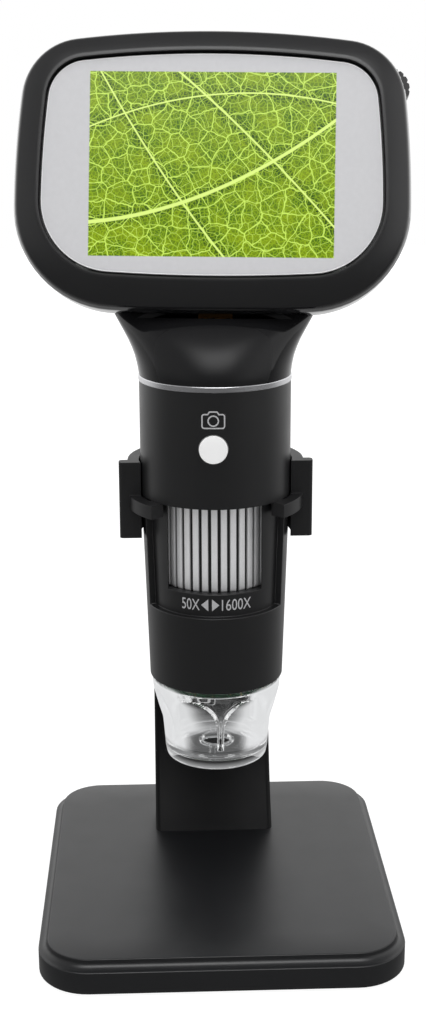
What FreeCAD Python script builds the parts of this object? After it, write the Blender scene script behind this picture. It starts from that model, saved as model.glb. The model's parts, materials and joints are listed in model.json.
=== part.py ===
import FreeCAD, Part
import math
import os

V = FreeCAD.Vector

# LCD digital microscope standing in its table stand. All sizes in millimetres, angles in degrees.
# Origin: centre of the feet's contact plane on the table. +Z up, +X to the right, the screen faces -Y.

# Stand base
base_width = 86.4
base_depth = 94.6
base_corner = 12.3
base_top = 8.6                 # top face above the table
foot_stand = 0.8               # the feet hold the rim this far off the table
step_inset = 2.1               # the top plate steps in from the rim
step_height = 2.2
step_round = 0.7
base_wall = 2.8
bottom_cover_thickness = 1.8
cover_gap = 0.2                # clearance of a cover inside its wall
foot_radius = 5.0
foot_taper = 0.5
foot_inset = 12.0              # foot centre from each side of the base
boss_radius = 3.0
boss_floor = 0.8               # a boss hole stops this far below the top face
boss_inset = 13.0              # screw boss centre in from each side, along X
boss_front_inset = 21.0        # and along Y
ballast_width = 56.0
ballast_depth = 50.0
ballast_thickness = 2.2
ballast_gap = 0.5              # round the screw bosses
ballast_front = 38.0           # front edge of the ballast ahead of the base centre

# Screws
screw_radius = 1.0
screw_head_radius = 2.0
screw_head_height = 1.2
screw_length = 5.0
screw_slot_width = 0.7
screw_slot_length = 2.6
screw_slot_depth = 0.5
tip_gap = 0.4                  # a screw's tip stops this far short of its hole's end
screw_fit = 0.05               # radial clearance round a shank
head_fit = 0.2                 # radial clearance round a head

# Arm
arm_width = 31.0
arm_wall = 2.4
arm_back_margin = 31.0         # from the base's back edge to the arm's front face
arm_foot_depth = 13.5
arm_sweep = 18.5               # how far the curve swings back from the foot
arm_mid_depth = 9.2
arm_top_depth = 9.5
arm_foot_block = 9.0           # solid foot that takes the foot screws
arm_top_round = 6.0
arm_edge_round = 1.5
arm_cover_thickness = 1.8
arm_cover_ledge = 1.2
arm_screw_spacing = 18.0
arm_screw_depth = 7.0          # foot screw line behind the arm's front face

# Holder clip
barrel_ahead = 19.8            # barrel axis ahead of the arm's front face
clip_wall = 2.7
clip_below_seat = 10.5
clip_height = 18.4
clip_boss_width = 20.0
clip_boss_depth = 0.8          # flat boss behind the ring
clip_screw_spacing = 7.0
ear_reach = 22.75              # outer edge of each ear from the barrel axis
ear_front = 4.0                # front face of the ears ahead of the axis
ear_thickness = 3.0
ear_round = 0.9
prong_angle = 47.0             # ends of the prongs, from straight ahead
prong_inner_angle = 60.0       # the inner step of a prong stops here
prong_outer_angle = 90.0
prong_height = 3.2
body_gap = 0.3                 # between pieces that move past each other

# Microscope barrel
scope_turn = -3.5              # the microscope stands turned a little in the clip
barrel_radius = 17.7           # upper barrel
barrel_wall = 2.0
seat_height = 108.1            # lower edge of the upper barrel, on the prongs
upper_barrel_length = 26.9
trim_ring_height = 1.4
trim_ring_proud = 0.15
spigot_fit = 0.1
spigot_height = 5.0
top_spigot_rise = 1.3          # spigot above the trim ring
top_spigot_wall = 1.3
barrel_step = 0.15             # lower barrel is this much smaller at its top
lower_barrel_length = 45.6
lower_bottom_radius = 16.1
lower_bore = 13.6
cap_bore = 14.4
cap_bore_depth = 5.7
recess_length = 26.6           # recess below the upper barrel's edge
recess_depth = 1.5
recess_angle = 68.5            # half angle of the recess round the wheel
window_length = 21.1
window_half_width = 10.9

# Focus wheel and optics
wheel_radius = 13.0
wheel_ridges = 36
ridge_share = 0.66             # share of the pitch that a ridge's flat top takes
ridge_depth = 0.55
wheel_below_window = 0.5
wheel_length = 24.5
web_thickness = 1.8
wheel_end_gap = 0.3
running_fit = 0.05
tube_radius = 10.4
tube_bore = 8.6
tube_above_wheel = 3.5
tube_flange = 2.0
retainer_thickness = 1.2
retainer_fit = 0.2
carriage_rise = 3.5            # above the wheel's lower end, at rest
carriage_length = 14.0
carriage_bore = 5.0
lens_thickness = 3.0
lens_rim = 1.0                 # shoulder that the lens sits on
sensor_board_radius = 13.0
board_thickness = 1.6
sensor_size = 8.0
sensor_thickness = 1.4
led_board_hole = 5.5
led_count = 8
led_circle = 9.0
led_radius = 1.3
led_height = 1.5
led_round = 0.65

# Clear cap
cap_height = 21.2              # from the barrel's end to the foot of the cap
cap_wall = 1.3
cap_shoulder_radius = 15.6
cap_collar_depth = 1.9
cap_waist_drop = 6.6           # below the barrel's end
cap_waist_radius = 14.2
cap_low_rise = 3.1             # above the cap's bottom
cap_low_radius = 12.8
cap_foot_radius = 12.1
cap_foot_inner = 10.8
cap_foot_taper = 0.5
cap_foot_rim = 0.8
cap_floor_rise = 2.2
cap_floor_thickness = 1.2
cap_hole = 3.6
cap_lip = 0.6
cap_ribs = 6
cap_rib_width = 5.2
cap_rib_tip = 1.2
cap_rib_lean = 0.9              # a post leans inwards by this towards its tip
cap_rib_angle = 6.0            # first post, from straight ahead
cap_rib_depth = 1.6
cap_rib_drop = 9.0

# Shutter button
shutter_above_seat = 14.0
shutter_radius = 3.25
shutter_gap = 0.2
shutter_round = 0.25
shutter_proud = 0.3
shutter_travel = 0.5
shutter_flange = 4.2
shutter_flange_inset = 0.8     # flange inside the barrel's bore
shutter_flange_thickness = 0.8
shutter_nub = 0.7
shutter_nub_radius = 1.0
switch_size = 6.0
switch_depth = 2.6
switch_plunger = 0.6
switch_plunger_radius = 1.4
switch_gap = 0.1
button_board_width = 12.0
button_board_height = 15.0

# Head: sizes in the screen's own plane, x across, y up, z out of the screen
screen_above_neck = 46.6       # screen centre above the trim ring
screen_forward = 2.0           # screen centre ahead of the barrel axis
screen_tilt = 15.0
screen_shift = -0.45           # screen centre off the barrel axis, along X
screen_roll = -0.7             # the screen leans this much in its own plane
head_outline = {"top_half": 43.6, "bottom_half": 45.0, "top": 29.8, "bottom": -31.6,
                "top_corner": 14.5, "bottom_corner": 23.3,
                "crown": 250.0, "side": 220.0, "base": 400.0}
window_outline = {"top_half": 36.9, "bottom_half": 38.3, "top": 23.8, "bottom": -23.5,
                  "top_corner": 9.0, "bottom_corner": 16.0,
                  "crown": 250.0, "side": 220.0, "base": 400.0}
bezel_depth = 7.0              # parting plane behind the screen window's face
bezel_edge = [(0.2, 3.4), (0.5, 2.2), (1.0, 1.3)]   # inset and depth along the rounded edge
bezel_lip = 0.8                # inner lip ahead of the window
bezel_lip_width = 0.2
bezel_crest_width = 0.9
bezel_wall = 2.4
rear_depth = 15.2
rear_straight = 5.0            # the back's side walls run straight this far behind the parting plane
rear_round = 5.0
rear_sweep = 81.8              # degrees of the quarter ellipse that the back's edge follows
rear_reveal = 0.25
rear_wall = 1.8
rear_steps = 6
window_thickness = 1.2
window_gap = 0.1
window_ledge = 1.4
lcd_width = 60.5
lcd_height = 46.5
lcd_thickness = 2.4
lcd_rise = 0.5
lcd_gap = 0.3
main_board_depth = 4.4
main_board_inset = 4.6
battery_side_margin = 18.7     # from the head's widest top line in to the battery
battery_height = 32.0
battery_thickness = 5.2
battery_round = 1.0
battery_drop = 3.0
post_radius = 3.0
post_x = 35.0
post_y = 9.5
post_hole_gap = 0.4
post_floor = 0.4               # a post's hole stops this far short of the window's ledge
housing_screw_seat = 9.0       # how deep the screw heads sit behind the screen
key_names = ["power_button", "menu_button", "playback_button"]
key_radius = 3.2
key_spacing = 12.0
key_rise = 17.6
key_pressed = 0.1              # how far a pressed key still stands out
key_gap = 0.2
key_travel = 0.4
key_flange = 0.8
key_flange_thickness = 0.4
key_round = 0.35
key_board_margin = 3.5
key_board_rim = 0.8
key_post_height = 1.2
key_post_radius = 1.2
key_post_inset = 1.5
key_board_thickness = 1.2
dial_radius = 5.0
dial_teeth = 18
dial_tooth_depth = 0.4
dial_tooth_share = 0.5
dial_thickness = 2.4
dial_out = 1.7                 # how far the dial stands out of the shell
dial_angle = 22.7              # where it stands on the upper right corner
dial_gap = 0.3
spindle_radius = 1.0
pot_size = 5.2
pot_shift_x = 2.4              # the potentiometer's body sits inwards of its spindle
pot_shift_y = 1.5
pot_thickness = 1.3
usb_width = 8.0
usb_height = 2.8
usb_depth = 6.0
usb_drop = 17.9
usb_wall = 0.4
usb_tongue = 0.8
usb_tongue_setback = 0.8
port_gap = 0.25
card_width = 11.4
card_height = 1.9
card_depth = 14.0
card_slot_height = 1.0
card_wall = 0.4
card_setback = 0.2
socket_setback = 0.6           # the charging socket stops this far inside the casing wall
flex_width = 8.0
flex_thickness = 0.4
flex_back = 6.0                # behind the barrel axis
flex_bend_drop = 6.0           # the cable leans over this far below its upper end
main_flex_foot = -24.0         # where the cable meets the main board, along the screen's height

# Neck, measured from the barrel axis: height above the trim ring, front, back and half width
neck_sections = [(0.0, -17.7, 17.7, 17.7), (1.6, -17.7, 17.7, 17.9), (4.6, -16.8, 17.9, 18.6),
                 (8.0, -14.9, 18.3, 20.1), (11.6, -11.4, 18.7, 22.3), (14.4, -6.0, 19.0, 23.9),
                 (19.0, -0.6, 19.0, 24.8), (26.0, 1.0, 17.6, 23.8), (34.0, 3.0, 14.4, 20.0),
                 (40.0, 5.0, 11.4, 13.0)]
neck_wall = 1.8
neck_steps = 2                 # loft steps between two sections
cable_hole_width = 20.0        # passage from the neck into the head
cable_hole_depth = 8.0
cable_hole_rise = 10.0
cable_hole_length = 12.0

# Joining and cutting
weld = 0.2                     # overlap where two shapes of one piece are joined
overcut = 1.0                  # how far a cut runs past a face
cut_reach = 120.0              # how far a long cutting tool reaches past the part
near = 0.01                    # edges and faces closer than this count as in one place

# Derived places
top_inner = base_top - base_wall
cover_top = foot_stand + bottom_cover_thickness
base_x = base_width / 2
base_y = base_depth / 2
arm_foot_front = base_y - arm_back_margin
barrel_axis_y = arm_foot_front - barrel_ahead
clip_bottom = seat_height - clip_below_seat
lower_bottom = seat_height - lower_barrel_length
recess_bottom = seat_height - recess_length
window_bottom = seat_height - window_length
wheel_bottom = window_bottom - wheel_below_window
carriage_bottom = wheel_bottom + carriage_rise
cap_bottom = lower_bottom - cap_height
shutter_height = seat_height + shutter_above_seat
sleeve_top = seat_height + upper_barrel_length
neck_bottom = sleeve_top + trim_ring_height
screen_height = neck_bottom + screen_above_neck
sleeve_bore = barrel_radius - barrel_wall
lower_top_radius = barrel_radius - barrel_step
clip_top = clip_bottom + clip_height
clip_inner = barrel_radius + body_gap
clip_outer = clip_inner + clip_wall
pad_y = barrel_axis_y + clip_outer + clip_boss_depth
step_height_bore = lower_bottom + cap_bore_depth
web_top = wheel_bottom - wheel_end_gap
wheel_top = wheel_bottom + wheel_length
tube_top = wheel_top + tube_above_wheel
wheel_bore = tube_radius + running_fit
led_board_bottom = step_height_bore - tube_flange - board_thickness
cap_floor_bottom = cap_bottom + cap_floor_rise
cap_floor_top = cap_floor_bottom + cap_floor_thickness
cap_collar_radius = cap_bore - body_gap
shutter_flange_front = sleeve_bore - shutter_flange_inset
shutter_back = shutter_flange_front - shutter_flange_thickness - shutter_nub
switch_front = shutter_back - shutter_travel - switch_gap
button_board_front = switch_front - switch_plunger - switch_depth
main_board_back = main_board_depth + board_thickness
rear_inner = rear_depth - rear_wall
key_proud = key_pressed + key_travel
ledge_back = window_thickness + window_gap + window_ledge
post_hole_end = ledge_back + post_floor
dial_corner = (head_outline["top_half"] - head_outline["top_corner"],
               head_outline["top"] - head_outline["top_corner"])
dial_reach = head_outline["top_corner"] + dial_out - dial_radius
dial_x = dial_corner[0] + dial_reach * math.cos(math.radians(dial_angle))
dial_y = dial_corner[1] + dial_reach * math.sin(math.radians(dial_angle))
dial_front = main_board_back + pot_thickness + dial_gap
dial_back = dial_front + dial_thickness


def box(x0, x1, y0, y1, z0, z1):
    return Part.makeBox(x1 - x0, y1 - y0, z1 - z0, V(x0, y0, z0))


def cylinder(radius, z0, z1, x=0.0, y=0.0):
    return Part.makeCylinder(radius, z1 - z0, V(x, y, z0))


def ring(outer, inner, z0, z1):
    return cylinder(outer, z0, z1).cut(cylinder(inner, z0, z1))


def revolved(points):
    """Solid of revolution about Z of a closed outline of (radius, height) points."""
    corners = [V(r, 0, z) for r, z in points]
    face = Part.Face(Part.makePolygon(corners + corners[:1]))
    return face.revolve(V(0, 0, 0), V(0, 0, 1), 360)


def rounded_slab(width, depth, corner, z0, z1):
    slab = box(-width / 2, width / 2, -depth / 2, depth / 2, z0, z1)
    upright = [e for e in slab.Edges if abs(e.BoundBox.ZLength - (z1 - z0)) < near]
    return slab.makeFillet(corner, upright)


def edges_at(shape, z):
    return [e for e in shape.Edges if abs(e.BoundBox.ZMin - z) < near and abs(e.BoundBox.ZMax - z) < near]


def wedge(spread, reach, z0, z1):
    """Upright wedge about the Z axis between two angles from straight ahead (-Y), positive to +X."""
    first = math.radians(spread[0])
    last = math.radians(spread[1])
    middle = (first + last) / 2
    points = [V(0, 0, z0)]
    for a in (first, middle, last):
        points.append(V(reach * math.sin(a), -reach * math.cos(a), z0))
    return Part.Face(Part.makePolygon(points + points[:1])).extrude(V(0, 0, z1 - z0))


def toothed_disc(tip, root, teeth, tip_share, z0, z1):
    """Prism whose outline is a ring of flat-topped teeth."""
    pitch = 360.0 / teeth
    points = []
    for tooth in range(teeth):
        for radius, shift in ((root, -0.5), (tip, -tip_share / 2), (tip, tip_share / 2)):
            a = math.radians((tooth + shift) * pitch)
            points.append(V(radius * math.sin(a), -radius * math.cos(a), z0))
    return Part.Face(Part.makePolygon(points + points[:1])).extrude(V(0, 0, z1 - z0))


def screw(length):
    """Screw pointing up +Z with the top of its head at the origin plane."""
    shank = cylinder(screw_radius, 0, length)
    head = cylinder(screw_head_radius, -screw_head_height, 0)
    wide = screw_slot_width / 2
    long = screw_slot_length / 2
    drive = box(-wide, wide, -long, long, -screw_head_height, -screw_head_height + screw_slot_depth)
    return shank.fuse(head).cut(drive)


def at(shape, x, y, z, axis=None, angle=0.0):
    copy = shape.copy()
    if axis is not None:
        copy.rotate(V(0, 0, 0), axis, angle)
    copy.translate(V(x, y, z))
    return copy


def head_place():
    tilt = FreeCAD.Rotation(V(1, 0, 0), 90 - screen_tilt)
    roll = FreeCAD.Rotation(V(0, 0, 1), screen_roll)
    return FreeCAD.Placement(V(screen_shift, -screen_forward, screen_height), tilt.multiply(roll))


def in_head(shape):
    """From the screen's own frame to the barrel's frame."""
    return shape.transformed(head_place().toMatrix())


def in_stand(shape):
    """From the barrel's frame to the table's frame."""
    turn = FreeCAD.Rotation(V(0, 0, 1), scope_turn)
    return shape.transformed(FreeCAD.Placement(V(0, barrel_axis_y, 0), turn).toMatrix())


# The stand

def boss_points():
    x = base_x - boss_inset
    y = base_y - boss_front_inset
    return [(x, y), (-x, y), (x, -y), (-x, -y)]


def base_plate():
    rim_top = base_top - step_height
    rim = rounded_slab(base_width, base_depth, base_corner, foot_stand, rim_top)
    rim = rim.makeFillet(step_round, edges_at(rim, rim_top))
    top = rounded_slab(base_width - 2 * step_inset, base_depth - 2 * step_inset,
                       base_corner - step_inset, rim_top - step_round, base_top)
    top = top.makeFillet(step_round, edges_at(top, base_top))
    hollow = rounded_slab(base_width - 2 * base_wall, base_depth - 2 * base_wall,
                          base_corner - base_wall, foot_stand, top_inner)
    shell = rim.fuse(top).cut(hollow)
    hole = screw_radius + screw_fit
    for x, y in boss_points():
        shell = shell.fuse(cylinder(boss_radius, cover_top, top_inner + weld, x, y))
        shell = shell.cut(cylinder(hole, cover_top, base_top - boss_floor, x, y))
    for x in (-arm_screw_spacing / 2, arm_screw_spacing / 2):
        y = arm_foot_front + arm_screw_depth
        shell = shell.cut(cylinder(hole, top_inner, base_top, x, y))
    return shell


def base_bottom_cover():
    inset = base_wall + cover_gap
    plate = rounded_slab(base_width - 2 * inset, base_depth - 2 * inset, base_corner - inset,
                         foot_stand, cover_top)
    for x, y in boss_points():
        head_top = foot_stand + screw_head_height
        plate = plate.cut(cylinder(screw_head_radius + head_fit, foot_stand, head_top, x, y))
        plate = plate.cut(cylinder(screw_radius + screw_fit, foot_stand, cover_top, x, y))
    return plate


def base_screws():
    seat = foot_stand + screw_head_height
    length = base_top - boss_floor - tip_gap - seat
    return Part.makeCompound([at(screw(length), x, y, seat) for x, y in boss_points()])


def ballast_plate():
    plate = box(-ballast_width / 2, ballast_width / 2, -ballast_front, ballast_depth - ballast_front,
                cover_top, cover_top + ballast_thickness)
    for x, y in boss_points():
        plate = plate.cut(cylinder(boss_radius + ballast_gap, cover_top, base_top, x, y))
    return plate


def rubber_feet():
    feet = []
    x = base_x - foot_inset
    y = base_y - foot_inset
    for fx, fy in ((x, y), (-x, y), (x, -y), (-x, -y)):
        feet.append(Part.makeCone(foot_radius - foot_taper, foot_radius, foot_stand, V(fx, fy, 0)))
    return Part.makeCompound(feet)


def arm_front_curve(shift=0.0):
    middle = (base_top + clip_bottom) / 2
    return [(arm_foot_front + shift, base_top), (arm_foot_front + arm_sweep + shift, middle),
            (pad_y + shift, clip_bottom), (pad_y + shift, clip_top)]


def arm_back_curve(shift=0.0):
    middle = (base_top + clip_bottom) / 2
    return [(arm_foot_front + arm_foot_depth + shift, base_top),
            (arm_foot_front + arm_sweep + arm_mid_depth + shift, middle),
            (pad_y + arm_top_depth + shift, clip_bottom), (pad_y + arm_top_depth + shift, clip_top)]


def arm_slice(front, back, half, z0, z1):
    """Solid between two side curves, each an arc through three points and an upright end."""
    f = [V(-half, y, z) for y, z in front]
    b = [V(-half, y, z) for y, z in back]
    edges = [Part.Arc(f[0], f[1], f[2]).toShape(), Part.makeLine(f[2], f[3]), Part.makeLine(f[3], b[3]),
             Part.makeLine(b[3], b[2]), Part.Arc(b[2], b[1], b[0]).toShape(), Part.makeLine(b[0], f[0])]
    solid = Part.Face(Part.Wire(edges)).extrude(V(2 * half, 0, 0))
    return solid.common(box(-half, half, -cut_reach, cut_reach, z0, z1))


def clip_screw_heights():
    upper = clip_top - arm_top_round - arm_cover_ledge - screw_head_radius - head_fit
    return [upper - clip_screw_spacing, upper]


def support_arm():
    half = arm_width / 2
    solid = arm_slice(arm_front_curve(), arm_back_curve(), half, base_top, clip_top)
    crest = [e for e in solid.Edges if e.BoundBox.XLength > arm_width - near
             and e.BoundBox.ZMin > clip_top - near and e.BoundBox.YMin > pad_y + near]
    solid = solid.makeFillet(arm_top_round, crest)
    sides = [e for e in solid.Edges if e.BoundBox.XLength < near and e.BoundBox.ZMin > base_top - near
             and e.BoundBox.ZMax > base_top + near]
    solid = solid.makeFillet(arm_edge_round, sides)
    inside = half - arm_wall
    pocket = arm_slice(arm_front_curve(arm_wall), arm_back_curve(), inside - arm_cover_ledge,
                       base_top + arm_foot_block, clip_top - arm_top_round - arm_cover_ledge)
    seat = arm_slice(arm_back_curve(-arm_cover_thickness), arm_back_curve(arm_sweep), inside,
                     base_top + arm_foot_block - arm_cover_ledge, clip_top - arm_top_round)
    solid = solid.cut(pocket).cut(seat)
    for x in (-arm_screw_spacing / 2, arm_screw_spacing / 2):
        y = arm_foot_front + arm_screw_depth
        solid = solid.cut(cylinder(screw_radius + screw_fit, base_top, base_top + screw_length, x, y))
    for z in clip_screw_heights():
        hole = Part.makeCylinder(screw_radius + screw_fit, arm_wall, V(0, pad_y, z), V(0, 1, 0))
        solid = solid.cut(hole)
    return solid


def arm_rear_cover():
    half = arm_width / 2 - arm_wall - cover_gap
    z0 = base_top + arm_foot_block - arm_cover_ledge + cover_gap
    return arm_slice(arm_back_curve(-arm_cover_thickness), arm_back_curve(), half,
                     z0, clip_top - arm_top_round - cover_gap)


def arm_foot_screws():
    y = arm_foot_front + arm_screw_depth
    return Part.makeCompound([at(screw(base_wall + screw_length - tip_gap), x, y, top_inner)
                              for x in (-arm_screw_spacing / 2, arm_screw_spacing / 2)])


def clip_screws():
    length = arm_wall + clip_boss_depth + clip_wall - tip_gap
    return Part.makeCompound([at(screw(length), 0, pad_y + arm_wall, z, V(1, 0, 0), 90)
                              for z in clip_screw_heights()])


def holder_clip():
    """C-shaped holder: ring round the back, flat ears at its ends and two prongs under the barrel's edge."""
    front = -ear_front
    band = ring(clip_outer, clip_inner, clip_bottom, clip_top)
    band = band.common(box(-clip_outer, clip_outer, front, clip_outer, clip_bottom, clip_top))
    ears = box(-ear_reach, ear_reach, front, front + ear_thickness, clip_bottom, clip_top)
    tips = [e for e in ears.Edges if e.BoundBox.ZLength > near and abs(e.BoundBox.XMin) > ear_reach - near]
    ears = ears.makeFillet(ear_round, tips).cut(cylinder(clip_inner, clip_bottom, clip_top))
    prongs = []
    prong_bottom = seat_height - prong_height
    below = lower_radius_at(recess_bottom) + body_gap
    for side in (-1, 1):
        spread = sorted((side * prong_angle, side * prong_outer_angle))
        inner_spread = sorted((side * prong_angle, side * prong_inner_angle))
        outer_part = ring(clip_outer, clip_inner, prong_bottom, seat_height)
        prongs.append(outer_part.common(wedge(spread, cut_reach, prong_bottom, seat_height)))
        inner_part = ring(clip_inner + weld, below, prong_bottom, seat_height)
        prongs.append(inner_part.common(wedge(inner_spread, cut_reach, prong_bottom, seat_height)))
    boss = box(-clip_boss_width / 2, clip_boss_width / 2, clip_inner, clip_outer + clip_boss_depth,
               clip_bottom, clip_top)
    clip = band.multiFuse([ears, boss] + prongs).cut(cylinder(clip_inner, seat_height, clip_top + overcut))
    clip = clip.cut(cylinder(clip_inner, clip_bottom, prong_bottom)).removeSplitter()
    for z in clip_screw_heights():
        hole = Part.makeCylinder(screw_radius + screw_fit, clip_wall + clip_boss_depth,
                                 V(0, clip_inner, z), V(0, 1, 0))
        clip = clip.cut(hole)
    clip.translate(V(0, barrel_axis_y, 0))
    return clip


# The barrel, about its own axis

def lower_radius_at(z):
    share = (z - lower_bottom) / (seat_height - lower_bottom)
    return lower_bottom_radius + share * (lower_top_radius - lower_bottom_radius)


def lower_barrel():
    spigot = sleeve_bore - spigot_fit
    spigot_top = seat_height + spigot_height
    shell = revolved([(cap_bore, lower_bottom), (lower_bottom_radius, lower_bottom),
                      (lower_top_radius, seat_height), (spigot, seat_height), (spigot, spigot_top),
                      (lower_bore, spigot_top), (lower_bore, web_top), (wheel_bore, web_top),
                      (wheel_bore, web_top - web_thickness), (lower_bore, web_top - web_thickness),
                      (lower_bore, step_height_bore), (cap_bore, step_height_bore)])
    outside = barrel_radius + overcut
    skin = revolved([(lower_radius_at(recess_bottom) - recess_depth, recess_bottom),
                     (outside, recess_bottom), (outside, seat_height),
                     (lower_top_radius - recess_depth, seat_height)])
    recess = skin.common(wedge((-recess_angle, recess_angle), cut_reach, recess_bottom, seat_height))
    window = box(-window_half_width, window_half_width, -outside, 0, window_bottom, seat_height)
    window = window.cut(cylinder(lower_bore - overcut, window_bottom, seat_height))
    return shell.cut(recess).cut(window)


def upper_barrel():
    shell = ring(barrel_radius, sleeve_bore, seat_height, sleeve_top)
    spigot = sleeve_bore + spigot_fit
    spigot_top = neck_bottom + top_spigot_rise
    shell = shell.fuse(ring(spigot, spigot - top_spigot_wall, sleeve_top - barrel_wall, spigot_top))
    hole = shutter_radius + shutter_gap
    return shell.cut(Part.makeCylinder(hole, barrel_radius, V(0, 0, shutter_height), V(0, -1, 0)))


def trim_ring():
    return ring(barrel_radius + trim_ring_proud, sleeve_bore + spigot_fit * 2, sleeve_top, neck_bottom)


def focus_wheel():
    wheel = toothed_disc(wheel_radius, wheel_radius - ridge_depth, wheel_ridges, ridge_share,
                         wheel_bottom, wheel_top)
    return wheel.cut(cylinder(wheel_bore, wheel_bottom, wheel_top))


def optics_tube():
    bottom = step_height_bore - tube_flange
    tube = ring(tube_radius, tube_bore, bottom, tube_top)
    flange = ring(cap_bore - running_fit, tube_bore, bottom, step_height_bore)
    return tube.fuse(flange)


def wheel_retainer():
    z0 = wheel_top + wheel_end_gap
    return ring(lower_bore - retainer_fit, tube_radius + running_fit, z0, z0 + retainer_thickness)


def lens_carriage():
    top = carriage_bottom + carriage_length
    body = ring(tube_bore - running_fit, carriage_bore, carriage_bottom, top)
    seat = cylinder(carriage_bore + lens_rim, carriage_bottom, carriage_bottom + lens_thickness)
    return body.cut(seat)


def objective_lens():
    return cylinder(carriage_bore + lens_rim, carriage_bottom, carriage_bottom + lens_thickness)


def sensor_board():
    return cylinder(sensor_board_radius, tube_top, tube_top + board_thickness)


def image_sensor():
    half = sensor_size / 2
    return box(-half, half, -half, half, tube_top - sensor_thickness, tube_top)


def led_board():
    return ring(cap_bore - running_fit, led_board_hole, led_board_bottom, led_board_bottom + board_thickness)


def leds():
    lamps = []
    for n in range(led_count):
        a = 2 * math.pi * (n + 0.5) / led_count
        x = led_circle * math.sin(a)
        y = led_circle * math.cos(a)
        lamp = cylinder(led_radius, led_board_bottom - led_height, led_board_bottom, x, y)
        lamps.append(lamp.makeFillet(led_round, edges_at(lamp, led_board_bottom - led_height)))
    return Part.makeCompound(lamps)


def clear_cap():
    """Clear open-bottomed cap: collar in the barrel, tapered bell, floor with a centre hole, six posts."""
    waist = lower_bottom - cap_waist_drop
    low = cap_bottom + cap_low_rise
    collar_top = lower_bottom + cap_collar_depth
    collar_inner = cap_collar_radius - cap_wall
    bell = revolved([(cap_collar_radius, collar_top), (collar_inner, collar_top),
                     (collar_inner, lower_bottom - cap_wall), (cap_waist_radius - cap_wall, waist),
                     (cap_low_radius - cap_wall, low), (cap_foot_inner, cap_floor_top),
                     (cap_hole, cap_floor_top), (cap_hole, cap_floor_bottom - cap_lip),
                     (cap_hole + cap_lip, cap_floor_bottom - cap_lip),
                     (cap_hole + cap_lip, cap_floor_bottom), (cap_foot_inner, cap_floor_bottom),
                     (cap_foot_inner - cap_foot_taper, cap_bottom),
                     (cap_foot_radius - cap_foot_taper, cap_bottom),
                     (cap_foot_radius, cap_bottom + cap_foot_rim), (cap_low_radius, low),
                     (cap_waist_radius, waist),
                     (cap_shoulder_radius, lower_bottom - cap_wall), (cap_shoulder_radius, lower_bottom),
                     (cap_collar_radius, lower_bottom)])
    rib_top = lower_bottom - cap_wall
    rib_bottom = rib_top - cap_rib_drop
    outside = cap_waist_radius - cap_wall / 2
    wide = cap_rib_width / 2
    tip = cap_rib_tip / 2
    corners = [V(-wide, -outside, rib_top), V(wide, -outside, rib_top),
               V(tip, cap_rib_lean - outside, rib_bottom), V(-tip, cap_rib_lean - outside, rib_bottom)]
    face = Part.Face(Part.makePolygon(corners + corners[:1]))
    posts = []
    for n in range(cap_ribs):
        post = face.extrude(V(0, cap_rib_depth, 0))
        post.rotate(V(0, 0, 0), V(0, 0, 1), cap_rib_angle + 360.0 * n / cap_ribs)
        posts.append(post)
    return bell.multiFuse(posts)


def shutter_button():
    front = barrel_radius + shutter_proud
    back = V(0, 1, 0)
    disc = Part.makeCylinder(shutter_radius, front - shutter_flange_front,
                             V(0, -front, shutter_height), back)
    disc = disc.makeFillet(shutter_round, [e for e in disc.Edges if e.BoundBox.YMax < near - front])
    flange = Part.makeCylinder(shutter_flange, shutter_flange_thickness,
                               V(0, -shutter_flange_front, shutter_height), back)
    nub = Part.makeCylinder(shutter_nub_radius, shutter_nub + weld,
                            V(0, -shutter_back - shutter_nub - weld, shutter_height), back)
    return disc.multiFuse([flange, nub])


def button_switch():
    half = switch_size / 2
    body_front = switch_front - switch_plunger
    body = box(-half, half, -body_front, -button_board_front, shutter_height - half, shutter_height + half)
    plunger = Part.makeCylinder(switch_plunger_radius, switch_plunger,
                                V(0, -switch_front, shutter_height), V(0, 1, 0))
    return body.fuse(plunger)


def button_board():
    z0 = tube_top + board_thickness
    return box(-button_board_width / 2, button_board_width / 2, -button_board_front,
               -button_board_front + board_thickness, z0, z0 + button_board_height)


# The head, in the screen's own frame

def outline(shape, grow, depth):
    """Closed outline of eight arcs: four corners joined by four long arcs that bulge outwards."""
    top = (shape["top_half"] - shape["top_corner"], shape["top"] - shape["top_corner"])
    low = (shape["bottom_half"] - shape["bottom_corner"], shape["bottom"] + shape["bottom_corner"])
    crown_y = top[1] - math.sqrt((shape["crown"] - shape["top_corner"]) ** 2 - top[0] ** 2)
    base_mid_y = low[1] + math.sqrt((shape["base"] - shape["bottom_corner"]) ** 2 - low[0] ** 2)
    side = side_centre(top, shape["side"] - shape["top_corner"], low, shape["side"] - shape["bottom_corner"])

    def rim(centre, radius, away):
        length = math.hypot(centre[0] - away[0], centre[1] - away[1])
        return (centre[0] + (centre[0] - away[0]) / length * radius,
                centre[1] + (centre[1] - away[1]) / length * radius)

    r_top = shape["top_corner"] + grow
    r_low = shape["bottom_corner"] + grow
    a = rim(top, r_top, (0, crown_y))
    b = rim(top, r_top, side)
    c = rim(low, r_low, side)
    d = rim(low, r_low, (0, base_mid_y))
    ab = bow(top, r_top, a, b)
    bc = bow(side, shape["side"] + grow, b, c)
    cd = bow(low, r_low, c, d)
    crown = (0, crown_y + shape["crown"] + grow)
    bottom = (0, base_mid_y - shape["base"] - grow)
    right = [a, ab, b, bc, c, cd, d]
    left = [(-x, y) for x, y in reversed(right)]
    ring_points = [V(x, y, -depth) for x, y in right + [bottom] + left + [crown]]
    count = len(ring_points)
    edges = [Part.Arc(ring_points[n], ring_points[n + 1], ring_points[(n + 2) % count]).toShape()
             for n in range(0, count, 2)]
    return Part.Wire(edges)


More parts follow.
